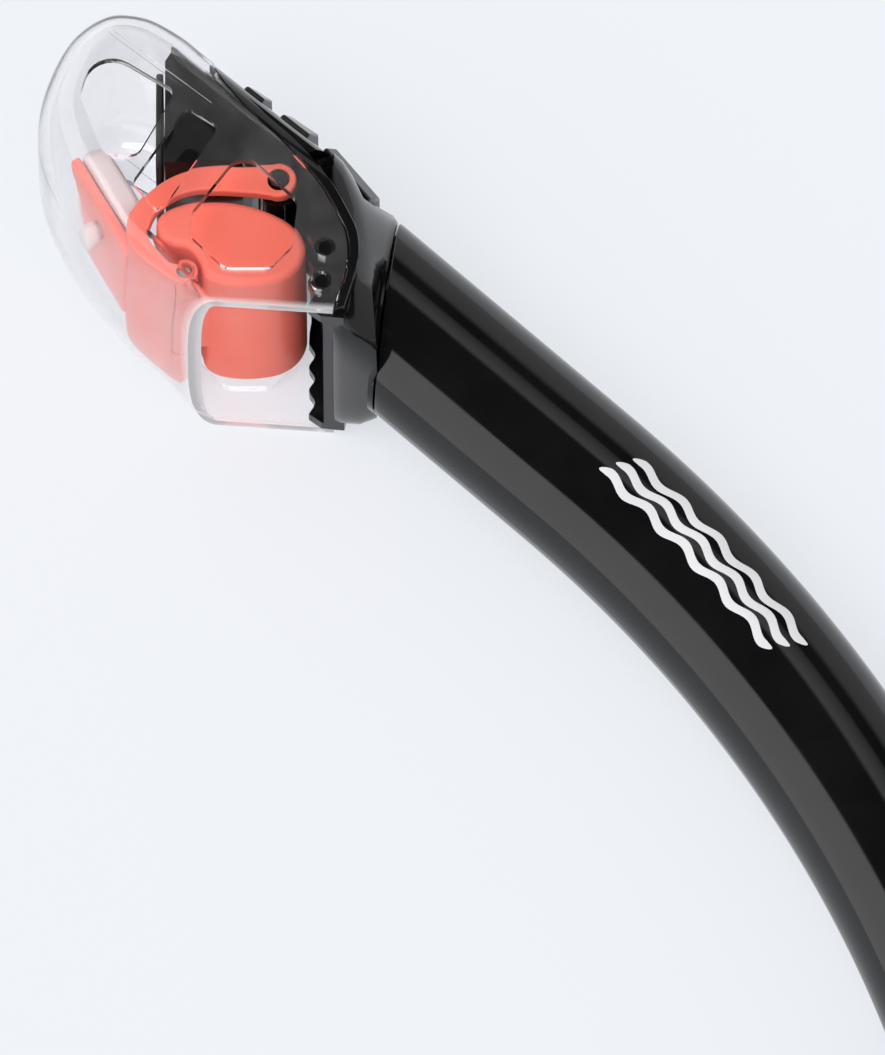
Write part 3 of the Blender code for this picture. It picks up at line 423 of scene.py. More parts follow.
def along_hose(t):
    """Centre, direction and normal of the hose at a length t from its upper end."""
    centre, direction, _ = along_tube(TUBE_LENGTH)
    top = centre + direction * ADAPTER_LENGTH
    start = math.radians(TUBE_END_ANGLE)
    radius = HOSE_LENGTH / (math.radians(HOSE_END_ANGLE) - start)
    slope = start + min(max(t, 0.0), HOSE_LENGTH) / radius
    x = top.x + radius * (math.sin(slope) - math.sin(start))
    y = top.y - radius * (math.cos(start) - math.cos(slope))
    share = min(max(t / HOSE_LENGTH, 0.0), 1.0)
    rise = LIFT * share * share * (3 - 2 * share)
    centre, direction, normal = frame_at(x, y, rise, slope)
    return centre + direction * (t - min(max(t, 0.0), HOSE_LENGTH)), direction, normal


def oval(where, a, b, shift=0.0, sides=64):
    """An oval ring square to the axis at a place of the tube or hose."""
    centre, direction, normal = where
    return ring(centre + direction * shift, normal, SIDEWAYS, a, b, sides)


def sweep(name, where, profile, sides=96):
    """A turned or oval ring round the axis at one place."""
    return loft(name, [oval(where, r.y, r.z, r.x, sides) for r in soft(profile, True)], True)


def round_rows(rows):
    """Rows of (length, radius, corner radius) as rows with both half widths."""
    return [(row[0], row[1], row[1], row[2] if len(row) > 2 else 0) for row in rows]


def tube_ring(s, a, b, sides, line=0.0):
    """A ring of the tube, leaning like the joint face near its start. line is a parting ridge."""
    centre, direction, normal = along_tube(max(s, 0.0))
    centre = centre + direction * min(s, 0.0)
    lean = math.radians(SEAM_LEAN)
    face = Vector((math.cos(lean), -math.sin(lean), 0))
    share = max(0.0, 1 - max(s, 0.0) / LEAN_LENGTH)
    out = []
    for k in range(sides):
        angle = 2 * math.pi * k / sides
        point = centre + normal * math.cos(angle) * a + SIDEWAYS * math.sin(angle) * b
        if line and k % (sides // 2) == 0:
            point += normal * math.copysign(line, math.cos(angle))
        along = (centre - point).dot(face) / direction.dot(face)
        out.append(point + direction * along * share)
    return out


# ---- materials
def nodes_of(name):
    mat = bpy.data.materials.new(name)
    mat.use_nodes = True
    tree = mat.node_tree
    return mat, tree, tree.nodes["Principled BSDF"]


def wire(tree, kind, inputs, output=0, **settings):
    """One output of a new node. Each input is a number, a colour or another node's output."""
    made = tree.nodes.new("ShaderNode" + kind)
    for key, value in settings.items():
        setattr(made, key, value)
    for key, value in inputs.items():
        if isinstance(value, bpy.types.NodeSocket):
            tree.links.new(value, made.inputs[key])
        else:
            made.inputs[key].default_value = value
    return made.outputs[output]


def noise_at(tree, scale, detail, rough=0.5):
    """A noise texture in object coordinates, in features per metre."""
    vector = wire(tree, "TexCoord", {}, "Object")
    inputs = {"Vector": vector, "Scale": scale, "Detail": detail, "Roughness": rough}
    return wire(tree, "TexNoise", inputs, "Fac")


def ramp(tree, source, low, high, a, b):
    """Maps low to a and high to b, which are two numbers or two colours."""
    if isinstance(a, (int, float)):
        inputs = {"Value": source, "From Min": low, "From Max": high, "To Min": a, "To Max": b}
        return wire(tree, "MapRange", inputs, "Result")
    colour = wire(tree, "ValToRGB", {"Fac": source}, "Color")
    stops = colour.node.color_ramp.elements
    stops[0].position, stops[1].position = low, high
    stops[0].color, stops[1].color = (*a, 1), (*b, 1)
    return colour


def calc(tree, operation, a, b=0.0):
    return wire(tree, "Math", {0: a, 1: b}, operation=operation)


def dot_with(tree, vector, direction):
    """How far a position or direction reaches along another direction."""
    return wire(tree, "VectorMath", {0: vector, 1: direction}, "Value", operation="DOT_PRODUCT")


def bump(tree, source, depth):
    """A bump of a depth in millimetres."""
    return wire(tree, "Bump", {"Height": source, "Strength": 1.0, "Distance": depth * 0.001}, "Normal")


def mottled(name, dark, light, spots, rough, wear, grain, depth):
    """A material with mottled colour and gloss and a fine grain.

    spots and wear are the noise scale, its detail and the low and high ends of its ramp.
    """
    mat, tree, shader = nodes_of(name)
    tone = ramp(tree, noise_at(tree, *spots[:2]), *spots[2:], dark, light)
    gloss = ramp(tree, noise_at(tree, *wear[:2]), *wear[2:], *rough)
    tree.links.new(tone, shader.inputs["Base Color"])
    tree.links.new(gloss, shader.inputs["Roughness"])
    tree.links.new(bump(tree, noise_at(tree, grain, 2), depth), shader.inputs["Normal"])
    return mat, shader.inputs


def plastic(name, dark, light, rough, grain, depth, ior=1.5):
    """Opaque moulded plastic, rubber or metal."""
    mat, sockets = mottled(name, dark, light, (90, 4, 0.35, 0.65), rough, (54, 5, 0.3, 0.7), grain, depth)
    sockets["IOR"].default_value = ior
    return mat


def glowing(sockets, weight, radius, scale):
    """Light sinks into the material and comes out near by."""
    sockets["Subsurface Weight"].default_value = weight
    sockets["Subsurface Radius"].default_value = radius
    sockets["Subsurface Scale"].default_value = scale


# The frosted lip of the hood's mouth: the way up from the mouth, where the frost starts to fade
# and how far it takes
LIP_WAY, LIP_LEVEL, LIP_FADE = (0.0754, 1, 0), 0.1329, 0.0011


def clear_plastic():
    """Clear polycarbonate, lightly scuffed, with a frosted lip round the mouth.

    Rays from the lamps pass it unbent, so that what is inside stays lit.
    """
    mat, tree, shader = nodes_of("clear_polycarbonate")
    shader.inputs["Base Color"].default_value = (0.945, 0.938, 0.946, 1)
    shader.inputs["IOR"].default_value = 1.58
    height = dot_with(tree, wire(tree, "TexCoord", {}, "Object"), LIP_WAY)
    lip = ramp(tree, height, LIP_LEVEL, LIP_LEVEL + LIP_FADE, 0.55, 1.0)
    scuffs = ramp(tree, noise_at(tree, 70, 8, rough=0.65), 0.42, 0.66, 0.997, 0.976)
    tree.links.new(calc(tree, "MULTIPLY", lip, scuffs), shader.inputs["Transmission Weight"])
    tree.links.new(ramp(tree, noise_at(tree, 120, 5), 0.35, 0.75, 0.015, 0.06), shader.inputs["Roughness"])
    tree.links.new(bump(tree, noise_at(tree, 45, 1), 0.02), shader.inputs["Normal"])
    through = wire(tree, "BsdfTransparent", {"Color": (0.9, 0.9, 0.91, 1)})
    shadow = wire(tree, "LightPath", {}, "Is Shadow Ray")
    mixed = wire(tree, "MixShader", {0: shadow, 1: shader.outputs[0], 2: through})
    tree.links.new(mixed, tree.nodes["Material Output"].inputs["Surface"])
    return mat


def coral_plastic():
    mat, sockets = mottled("coral_plastic", (0.98, 0.166, 0.112), (1.0, 0.202, 0.142), (60, 3, 0.3, 0.7),
                           (0.38, 0.5), (150, 4, 0.3, 0.7), 2600, 0.012)
    glowing(sockets, 0.35, (1.0, 0.25, 0.15), 0.002)
    return mat


def milky_silicone():
    mat, sockets = mottled("milky_silicone", (0.93, 0.76, 0.75), (0.96, 0.83, 0.82), (70, 3, 0.3, 0.7),
                           (0.3, 0.45), (200, 4, 0.3, 0.7), 900, 0.02)
    sockets["Transmission Weight"].default_value = 0.2
    sockets["IOR"].default_value = 1.41
    glowing(sockets, 0.5, (1.0, 0.8, 0.7), 0.003)
    return mat


CLEAR = clear_plastic()
GLOSS = plastic("gloss_black", (0.0045, 0.0045, 0.005), (0.0065, 0.0065, 0.007), (0.05, 0.1), 700, 0.002)
SATIN = plastic("satin_black", (0.012, 0.012, 0.013), (0.02, 0.02, 0.021), (0.28, 0.4), 2400, 0.012)
RUBBER = plastic("black_rubber", (0.014, 0.014, 0.015), (0.026, 0.026, 0.027), (0.5, 0.66), 1800, 0.02)
SILICONE = plastic("black_silicone", (0.012, 0.012, 0.013), (0.022, 0.022, 0.023), (0.36, 0.5), 1300, 0.015,
                   ior=1.42)
STEEL = plastic("pin_steel", (0.5, 0.5, 0.51), (0.62, 0.62, 0.63), (0.25, 0.4), 3000, 0.005)
STEEL.node_tree.nodes["Principled BSDF"].inputs["Metallic"].default_value = 1.0
CORAL = coral_plastic()
MILKY = milky_silicone()
PRINT = plastic("print_white", (0.78, 0.78, 0.8), (0.86, 0.86, 0.87), (0.3, 0.45), 1500, 0.004)


# ---- hood
def pillow(name, depth):
    """The outer form of the hood, moved inwards by depth: flat sides and a bulging front."""
    half = HOOD_HALF - depth
    reach = []
    for _, y in HOOD_OUTLINE:
        share = min(max(-y / MOUTH_LEVEL, 0.0), 1.0)
        reach.append(HOOD_DEPTH + (MOUTH_DEPTH - HOOD_DEPTH) * share - depth)
    levels = []
    for angle in range(-90, 91, 6):
        tilt = math.radians(abs(angle))
        level = math.copysign(half * math.sin(tilt) ** (2 / HOOD_POWER), angle)
        levels.append((level, [depth + far * (1 - math.cos(tilt)) for far in reach]))
    return loft(name, [[(x, y, z) for x, y in inset(HOOD_OUTLINE, steps)] for z, steps in levels])


def hood_limit(name, shift):
    """Everything in front of the hood's back edge and above its mouth."""
    keep = offset(HOOD_EDGE, shift) + [(-16.2, -24.9 + shift[1] * 4), (-60, -21), (-60, 60), (0, 60)]
    return prism(name, keep, -THROUGH, THROUGH)


def hood_piece():
    shell = cut(pillow("clear_hood", 0), pillow("hood_inside", HOOD_WALL))
    outlines = dict(WINDOWS)
    for k, peg in enumerate(PEGS):
        outlines[f"peg_hole_{k}"] = circle(peg, PEG_R + 0.35)
    cut(shell, *[prism(name, outline, -THROUGH, THROUGH) for name, outline in outlines.items()])
    combine(shell, [hood_limit("hood_limit", (0, 0))], "INTERSECT")
    bevel(shell, 0.3)
    join(shell, *panel_ribs())
    return place(shell, "tube", ["splash_hood"], CLEAR)


def panel_ribs():
    """A low rib on the inner face of each side panel."""
    low, high = shifted(RIB, -0.4), shifted(RIB, 0.4)
    face = HOOD_HALF - HOOD_WALL
    ribs = []
    for side in (-1, 1):
        levels = sorted((side * (face - 0.25), side * (face + 0.3)))
        ribs.append(prism(f"panel_rib_{side}", [low[0], low[1], high[1], high[0]], *levels, 0.1))
    return ribs


# ---- valve housing
def wing_outline():
    front = smooth([(-17.5, 25.6), (-15.0, 19.0), (-9.2, 11.6), (-4.0, 6.8), (0.4, 4.4), (3.6, 1.4),
                    (4.3, -2.5), (5.3, -7.0), (5.0, -10.0)], 3)
    scallops = smooth([(5.9 if k % 2 else 4.9, -12.2 - 2.2 * k) for k in range(7)], 5)
    lower = [(7.0, -27.0), (10.8, -27.4)]
    back = offset(HOOD_EDGE[-10:26:-1], (1.9, 0.6))
    top, bottom = shifted((SPINE_START, SPINE_END), -1.6)
    knee = tuple(Vector(top).lerp(Vector(bottom), 0.66))
    return front + scallops + lower + back + [knee, top]


def housing_piece():
    """Wide back, rim bead, duct core, socket, spigot, fins and snap pegs of the valve housing."""
    shell = prism("housing", wing_outline(), -WING_HALF, WING_HALF)
    inner, outer = offset(HOOD_EDGE[6:], (0.36, 0.2)), offset(HOOD_EDGE[6:], (2.0, 0.9))
    rim = prism("rim_bead", inner + outer[::-1], -HOOD_HALF + 0.2, HOOD_HALF - 0.2, 0.35)
    top, bottom = shifted((SPINE_START, SPINE_END), -2.1)
    knee = tuple(Vector(top).lerp(Vector(bottom), 0.7))
    core_outline = [(PORT_X, 4.9), (PORT_X, 23.6), (-17.3, 26.2), top, knee, (9.0, -8.0),
                    *arc(3.4, 20, -14, 17), (-6.0, 4.9)]
    core = prism("duct_core", core_outline, -CORE_HALF, CORE_HALF)
    join(shell, rim, core)
    combine(shell, [pillow("back_form", 0.25)], "INTERSECT")
    join(shell, socket())
    room = cut(pillow("hood_room", -0.4), pillow("hood_room_inside", HOOD_WALL + GAP))
    combine(room, [hood_limit("room_limit", (0.3, 0.15))], "INTERSECT")
    cut(shell, room)
    join(shell, spigot(), *fins())
    for k, peg in enumerate(PEGS):
        join(shell, prism(f"peg_{k}", circle(peg, PEG_R), 0.2 - HOOD_HALF, HOOD_HALF - 0.2, 0.3))
    duct = [(-26, 6.6), (-26, 22.0), (-13.6, 22.0), (13.4, -1.0), (16.9, -6.0), (14.4, -25.0),
            (10.4, -25.0), (9.3, -14.0), (8.3, -7.5), (5.6, -1.6), (3.6, 3.6), (-1.5, 6.6)]
    bore = loft("bore", [oval(along_tube(0), 8.5, 6.4, -4.5), oval(along_tube(0), 8.5, 6.4, 20.0)])
    below = [(-10, -4.2), (3.2, -4.2), (6.4, -7), (6.8, -12), (7.4, -27), (7.4, -45), (-10, -45)]
    cut(shell, prism("duct", duct, -DUCT_HALF, DUCT_HALF), bore, prism("float_room", below, -17.8, 17.8))
    for side in (-1, 1):
        cut(shell, cylinder(f"pin_hole_{side}", (0, 0, side * 9.0), (0, 0, side * 16.0), PIN_R + GAP))
    return place(shell, "tube", ["valve_housing"], GLOSS, 30)


def socket():
    """The part that narrows from the wide back to the oval of the tube."""
    upright = Vector((0, 1, 0))
    start, end = Vector((10.6, -12.0, 0)), along_tube(0)[0]
    sections = []
    for x, y, tall, wide, power in ((8.9, -10.9, 16.4, 21.0, 6.0), (9.2, -11.1, 16.8, 21.3, 6.0),
                                    (*start.xy, 17.1, 20.7, 5.0)):
        sections.append(ring(Vector((x, y, 0)), upright, SIDEWAYS, tall, wide, 96, power))
    for share, tall, wide, power in ((0.3, 16.9, 19.6, 4.2), (0.6, 16.2, 17.2, 3.2)):
        lean = Matrix.Rotation(math.radians(SEAM_LEAN * share), 3, "Z") @ upright
        sections.append(ring(start.lerp(end, share), lean, SIDEWAYS, tall, wide, 96, power))
    direction = along_tube(0)[1]
    for more_a, more_b, shift in ((0.1, 0.9, -1.6), (0, 0, -0.9), (-0.15, -0.15, -0.45), (-0.5, -0.5, -GAP)):
        outline = tube_ring(0, TUBE_A + more_a, TUBE_B + more_b, 96)
        sections.append([p + direction * shift for p in outline])
    return loft("tube_socket", sections)


def spigot():
    steps = ((-4.0, 11.3, 9.2), (10.6, 11.3, 9.2), (10.7, 9.9, 7.8), (17.0, 9.9, 7.8))
    return loft("spigot", [oval(along_tube(0), a, b, t) for t, a, b in steps])


def fins():
    """Three fins across the back of the housing, the last one running on to the tube."""
    top, bottom = Vector(SPINE_START), Vector(SPINE_END)
    along = (bottom - top).normalized()
    out = Vector((-along.y, along.x))
    made = []
    for k, steps in enumerate(FINS):
        rings = []
        for distance, half, high in steps:
            foot = top + along * distance
            profile = [(-4.0, half), (-1.0, half), (high, half - 3.5)]
            profile += [(rise, -z) for rise, z in profile[::-1]]
            rings.append([Vector((*(foot + out * rise), z)) for rise, z in profile])
        made.append(bevel(loft(f"fin_{k}", rings), 0.4))
    return made


def to_port(obj):
    """Turn a piece drawn along Y and Z to face the air port, along X."""
    return moved(obj, Matrix(((0, 0, 1, 0), (1, 0, 0, 0), (0, 1, 0, 0), (0, 0, 0, 1))))


def gasket_piece():
    """Soft lip round the mouth of the air duct."""
    low, high = PORT_X - GAP - 1.2, PORT_X - GAP
    outer = rounded([(5.4, -12.9), (23.1, -12.9), (23.1, 12.9), (5.4, 12.9)], 3.0)
    gasket = to_port(prism("duct_gasket", outer, low, high, 0.4))
    cut(gasket, to_port(prism("gasket_hole", inset(outer, 2.0), low - 2, high + 2)))
    return place(gasket, "tube", ["port_gasket"], RUBBER)


# ---- float arm and float
def shut_to_open(obj):
    """Swing a piece drawn with the valve shut to where it is when the valve is open."""
    return moved(obj, Matrix.Rotation(math.radians(CLOSE_ANGLE), 4, "Z"))


def on_stem(name, low, high, radius, edge=0.0):
    """A cylinder on the axis of the pad's stem."""
    return cylinder(name, (low, STEM_AT, 0), (high, STEM_AT, 0), radius, edge)


def arm_piece():
    """A bail with two legs, a curved front wall, knuckles for the float and a seal plate."""
    knuckle_side = [(-15.6, -19.4), (-14.1, -18.4), (-13.8, -16.6), (-15.1, -15.4)]
    outline = arc(EYE_R, -115, 12.5, 19) + ARM_OUTER + knuckle_side + ARM_INNER
    arm = prism("arm_bail", outline, ARM_HALF - LEG_THICK, ARM_HALF, 0.45)
    far_leg = prism("far_leg", outline, -ARM_HALF, LEG_THICK - ARM_HALF, 0.45)
    wall_top, wall_thick, middle = -8.2, 1.8, Vector((-16.0, -9.0))
    start = next(k for k, p in enumerate(ARM_OUTER) if p[1] < wall_top)
    strip = drawn_in(ARM_OUTER[start:], middle, 0.05)
    thick = drawn_in(strip, middle, wall_thick)
    wall = prism("front_wall", strip + thick[::-1], -ARM_HALF + 0.5, ARM_HALF - 0.5)
    plate = block("seal_plate", (PLATE_BACK, 3.2, -9.5), (PLATE_BACK + PLATE_THICK, 23.4, 9.5), 0.6)
    knuckle = crossbar("knuckle", KNUCKLE, ARM_HALF - 0.5, KNUCKLE_R)
    join(arm, far_leg, wall, shut_to_open(plate), knuckle)
    cut(arm, crossbar("eye_hole", (0, 0), THROUGH, EYE_HOLE_R),
        crossbar("float_pin_hole", KNUCKLE, THROUGH, KNUCKLE_BORE_R),
        crossbar("lug_room", KNUCKLE, 8, 2.2),
        shut_to_open(on_stem("stem_hole", PLATE_BACK - 5, PLATE_BACK + 5, STEM_HOLE_R)))
    return place(arm, "arm", ["float_arm"], CORAL)


def pin_pieces():
    """The two pins that carry the arm, and the float's pin."""
    for name, side in (("near", 1), ("far", -1)):
        shaft = cylinder(f"pivot_{name}", (0, 0, side * 11.6), (0, 0, side * 17.6), PIN_R, edge=0.3)
        place(shaft, "tube", [f"arm_pin_{name}"], GLOSS)
    pin = crossbar("knuckle_pin", KNUCKLE, ARM_HALF - 0.8, 0.95, 0.2)
    place(pin, "arm", ["float_pin"], STEEL)


def pad_piece():
    """Soft pad that shuts the port, held to the plate by a stem and a bulb."""
    front = PLATE_BACK + PLATE_THICK + GAP
    outline = rounded([(5.3, -13.2), (23.9, -13.2), (23.9, 13.2), (5.3, 13.2)], 7.0, 10)
    pad = to_port(prism("soft_pad", outline, front, front + 4.0, 1.2, 5))
    stem = on_stem("pad_stem", PLATE_BACK - 0.8, front + 1, STEM_R)
    bulb = on_stem("pad_bulb", PLATE_BACK - 1.8, PLATE_BACK - GAP, 2.0, 0.6)
    for piece in (pad, stem, bulb):
        shut_to_open(piece)
    join(pad, stem, bulb)
    return place(pad, "arm", ["seal_pad"], MILKY)


def float_pieces():
    """Hollow drum with a hinge lug, and the plug in its far end."""
    body = prism("float_drum", FLOAT_OUTLINE, -FLOAT_HALF, FLOAT_HALF, 1.4, 6)
    lug_outline = [(-10.5, -13.4), (-13.6, -14.2), (-16.1, -15.1), (-17.3, -16.5), (-17.1, -18.1),
                   (-15.6, -19.0), (-13.4, -18.4), (-10.5, -17.8)]
    join(body, prism("float_lug", smooth(lug_outline, 4, True), -7.5, 7.5, 0.5))
    cut(body, prism("drum_room", inset(FLOAT_OUTLINE, FLOAT_WALL), -THROUGH, FLOAT_HALF - FLOAT_WALL),
        crossbar("lug_bore", KNUCKLE, THROUGH, KNUCKLE_BORE_R))
    place(body, "float", ["float_body"], CORAL)
    plug = prism("drum_plug", inset(FLOAT_OUTLINE, FLOAT_WALL + GAP), -FLOAT_HALF, 2.0 - FLOAT_HALF, 0.3)
    place(plug, "float", ["float_cap"], CORAL)


# ---- tube and keeper
def tube_piece():
    bore_a, bore_b = TUBE_A - TUBE_WALL, TUBE_B - TUBE_WALL
    profile = [(0, TUBE_A, TUBE_B, 0.45), (TUBE_LENGTH, TUBE_A, TUBE_B, 0.4),
               (TUBE_LENGTH, bore_a, bore_b, 0.3), (0, bore_a, bore_b, 0.3)]
    rings = []
    for row in dense(soft(profile, True), 2.5):
        outside = row.y > TUBE_A - 0.01 and 1 < row.x < TUBE_LENGTH - 1
        rings.append(tube_ring(row.x, row.y, row.z, 160, 0.05 if outside else 0.0))
    place(loft("tube_barrel", rings, True), "tube", ["main_tube"], GLOSS)
    rows = [(11.2, SEAL_A, SEAL_B, 0.3), (14.8, SEAL_A, SEAL_B, 0.3),
            (14.8, 10.2, 8.1, 0.3), (11.2, 10.2, 8.1, 0.3)]
    place(sweep("spigot_seal", along_tube(0), rows, 64), "tube", ["tube_seal"], RUBBER)


def on_tube(s, across, lift=0.0):
    """A point on the tube's outward side: s along it and across it in the plane of its curve."""
    centre, _, normal = along_tube(s)
    high = math.sqrt(1 - (across / TUBE_A) ** 2) * TUBE_B
    square = (normal * (across / TUBE_A**2) + SIDEWAYS * (high / TUBE_B**2)).normalized()
    return centre + normal * across + SIDEWAYS * high + square * lift


def print_piece():
    """Three printed wave strokes along the tube."""
    bm = bmesh.new()
    steps, start, end, middle = 220, 50.0, 94.0, 2.1
    height, length, rounding = 0.62, 8.8, 8
    for lane in (-2.7, 0.0, 2.7):
        rows = []
        for k in range(steps + 1):
            s = start + (end - start) * k / steps
            wave = height * math.sin(2 * math.pi * (s - start) / length)
            taper = min(1.0, k / rounding, (steps - k) / rounding)
            half = 0.78 * math.sqrt(taper) + 0.02
            rows.append([bm.verts.new(on_tube(s + lane * 0.45, middle + lane + wave + half * side / 2, lift))
                         for side, lift in ((-2, 0.015), (-1, 0.03), (0, 0.03), (1, 0.03), (2, 0.015))])
        for first, second in zip(rows, rows[1:]):
            for a, b, c, d in zip(first, first[1:], second[1:], second):
                bm.faces.new((a, b, c, d))
    place(mesh_object("wave_print", bm), "tube", [], PRINT)


def keeper_level(height):
    """The level of a height above the surface that the snorkel lies on."""
    return height - HOOD_HALF


def keeper_turn(obj):
    """Turn a piece drawn along X and Y so that its length follows the tube."""
    centre, direction, _ = along_tube(length_at(KEEPER_ANGLE))
    angle = math.atan2(direction.y, direction.x)
    return moved(obj, Matrix.Translation(centre) @ Matrix.Rotation(angle, 4, "Z"))


def keeper_pieces():
    half = KEEPER_LENGTH / 2
    where = along_tube(length_at(KEEPER_ANGLE))
    in_a, in_b = TUBE_A + GAP + 0.15, TUBE_B + GAP + 0.15
    out_a, out_b = in_a + 1.7, in_b + 1.5
    rim = [(half, 0.0, 0.5), (half - 2.0, 0.0, 0.3), (half - 2.4, 0.3, 0.3)]
    rows = [(-s, out_a - low, out_b - low, soft_r) for s, low, soft_r in rim]
    rows += [(s, out_a - low, out_b - low, soft_r) for s, low, soft_r in rim[::-1]]
    collar = sweep("keeper_band", where, rows + [(half, in_a, in_b, 0.3), (-half, in_a, in_b, 0.3)])
    x, y, _ = where[0]
    join(collar, cylinder("keeper_boss", (x, y, -12.6), (x, y, BOSS_LEVEL), 5.0))
    cut(collar, cylinder("boss_bore", (x, y, -12.3), (x, y, -20), 2.1))
    place(collar, "tube", ["keeper_collar"], RUBBER)

    half_l, half_w = CLIP_LENGTH / 2, CLIP_WIDTH / 2
    outline = rounded([(-half_l, -half_w), (half_l, -half_w), (half_l, half_w), (-half_l, half_w)], 4.0)
    clip = prism("strap_clip", outline, keeper_level(0), BOSS_LEVEL - GAP, 0.7, 4)
    slot_top = keeper_level(CLIP_BAR + STRAP_GAP)
    cut(clip, block("strap_slot", (3 - half_l, -30, keeper_level(CLIP_BAR)), (half_l - 3, 30, slot_top), 0.5),
        cylinder("clip_hole", (0, 0, -10), (0, 0, slot_top - 1), 2.1),
        cylinder("head_recess", (0, 0, slot_top - 1), (0, 0, slot_top + 1.1), 3.7))
    place(keeper_turn(clip), "keeper", ["keeper_clip"], SATIN)
    rivet = cylinder("clip_rivet", (0, 0, slot_top + 0.4), (0, 0, -12.6), 1.7)
    join(rivet, cylinder("rivet_head", (0, 0, slot_top + 0.05), (0, 0, slot_top + 0.85), 3.4, edge=0.25))
    place(keeper_turn(rivet), "keeper", ["keeper_rivet"], SATIN)


# ---- hose, chamber, mouthpiece
def adapter_piece():
    end, length = along_tube(TUBE_LENGTH), ADAPTER_LENGTH
    bore_r = 8.8
    profile = [(-8.0, SEAL_A, SEAL_B, 0.3), (GAP, SEAL_A, SEAL_B, 0.1), (GAP, 14.2, 12.4, 0.5),
               (3.0, 14.6, 12.9, 1.2), (9.0, 14.2, 14.2, 1.0), (length - GAP, 14.2, 14.2, 0.5),
               (length - GAP, SPIGOT_R, SPIGOT_R, 0.1), (length + 8.0, SPIGOT_R, SPIGOT_R, 0.4),
               (length + 8.0, bore_r, bore_r, 0.3), (8.0, bore_r, bore_r, 0.5),
               (0.0, 10.0, 7.9, 0.5), (-8.0, 10.0, 7.9, 0.3)]
    place(sweep("tube_adapter", end, profile), "tube", ["hose_adapter"], SATIN)


def hose_piece():
    """Bellows hose with a plain cuff at each end, bending between the tube and the chamber."""
    folds = HOSE_LENGTH - 2 * CUFF_LENGTH
    pitch = folds / HOSE_FOLDS
    middle_r, swing = (HOSE_R + HOSE_VALLEY_R) / 2, (HOSE_R - HOSE_VALLEY_R) / 2
    rows = [(0.0, HOSE_CUFF_R, 0.4), (CUFF_LENGTH - 0.6, HOSE_CUFF_R, 0.5)]
    per_fold = 12
    for k in range(HOSE_FOLDS * per_fold + 1):
        t = CUFF_LENGTH + pitch * k / per_fold
        turn = math.cos(2 * math.pi * k / per_fold)
        rows.append((t, middle_r - swing * math.copysign(abs(turn) ** 0.75, turn), 0))
    rows += [(HOSE_LENGTH - CUFF_LENGTH + 0.6, HOSE_CUFF_R, 0.5), (HOSE_LENGTH, HOSE_CUFF_R, 0.4)]
    rows += [(HOSE_LENGTH * k / 24, HOSE_BORE_R, 0) for k in range(24, -1, -1)]
    rings = [oval(along_hose(r.x), r.y, r.z) for r in soft(round_rows(rows), True)]
    hose = loft("bellows_hose", rings, True)
    top, bottom = along_hose(CUFF_LENGTH), along_hose(HOSE_LENGTH - CUFF_LENGTH)
    ends = [tuple(TO_ROW @ where[0]) for where in (top, bottom)]
    place(hose, ("tube", "mouth_end", *ends), ["flex_hose"], SILICONE)


def band_piece(name, middle, body, node):
    """Clamping band round a cuff of the hose, with a shallow groove."""
    outer, inner = HOSE_CUFF_R + 1.5, HOSE_CUFF_R + GAP
    rows = [(-2.5, outer, 0.5), (-1.6, outer, 0.3), (-1.3, outer - 0.3, 0.2), (1.3, outer - 0.3, 0.2),
            (1.6, outer, 0.3), (2.5, outer, 0.5), (2.5, inner, 0.2), (-2.5, inner, 0.2)]
    place(sweep(name, along_hose(middle), round_rows(rows)), body, [node], SATIN)


def branch_frame():
    """Start, direction and cross direction of the branch to the mouthpiece, square to the chamber."""
    centre, direction, normal = along_hose(HOSE_LENGTH)
    return centre + direction * BRANCH_AT, -normal, -direction


def branch_ring(shift, a, b, power=2.0):
    start, direction, across = branch_frame()
    return ring(start + direction * shift, across, SIDEWAYS, a, b, 96, power)


def branch_turn(obj):
    """Turn a piece drawn with its length along X and its height along Y to the branch."""
    start, along, across = branch_frame()
    turn = Matrix((along, across, along.cross(across))).transposed().to_4x4()
    return moved(obj, Matrix.Translation(start) @ turn)


def spread(where, angle, radius):
    """A point of a ring of holes round the axis, at an angle in degrees."""
    centre, _, normal = where
    turn = math.radians(angle)
    return centre + normal * radius * math.cos(turn) + SIDEWAYS * radius * math.sin(turn)


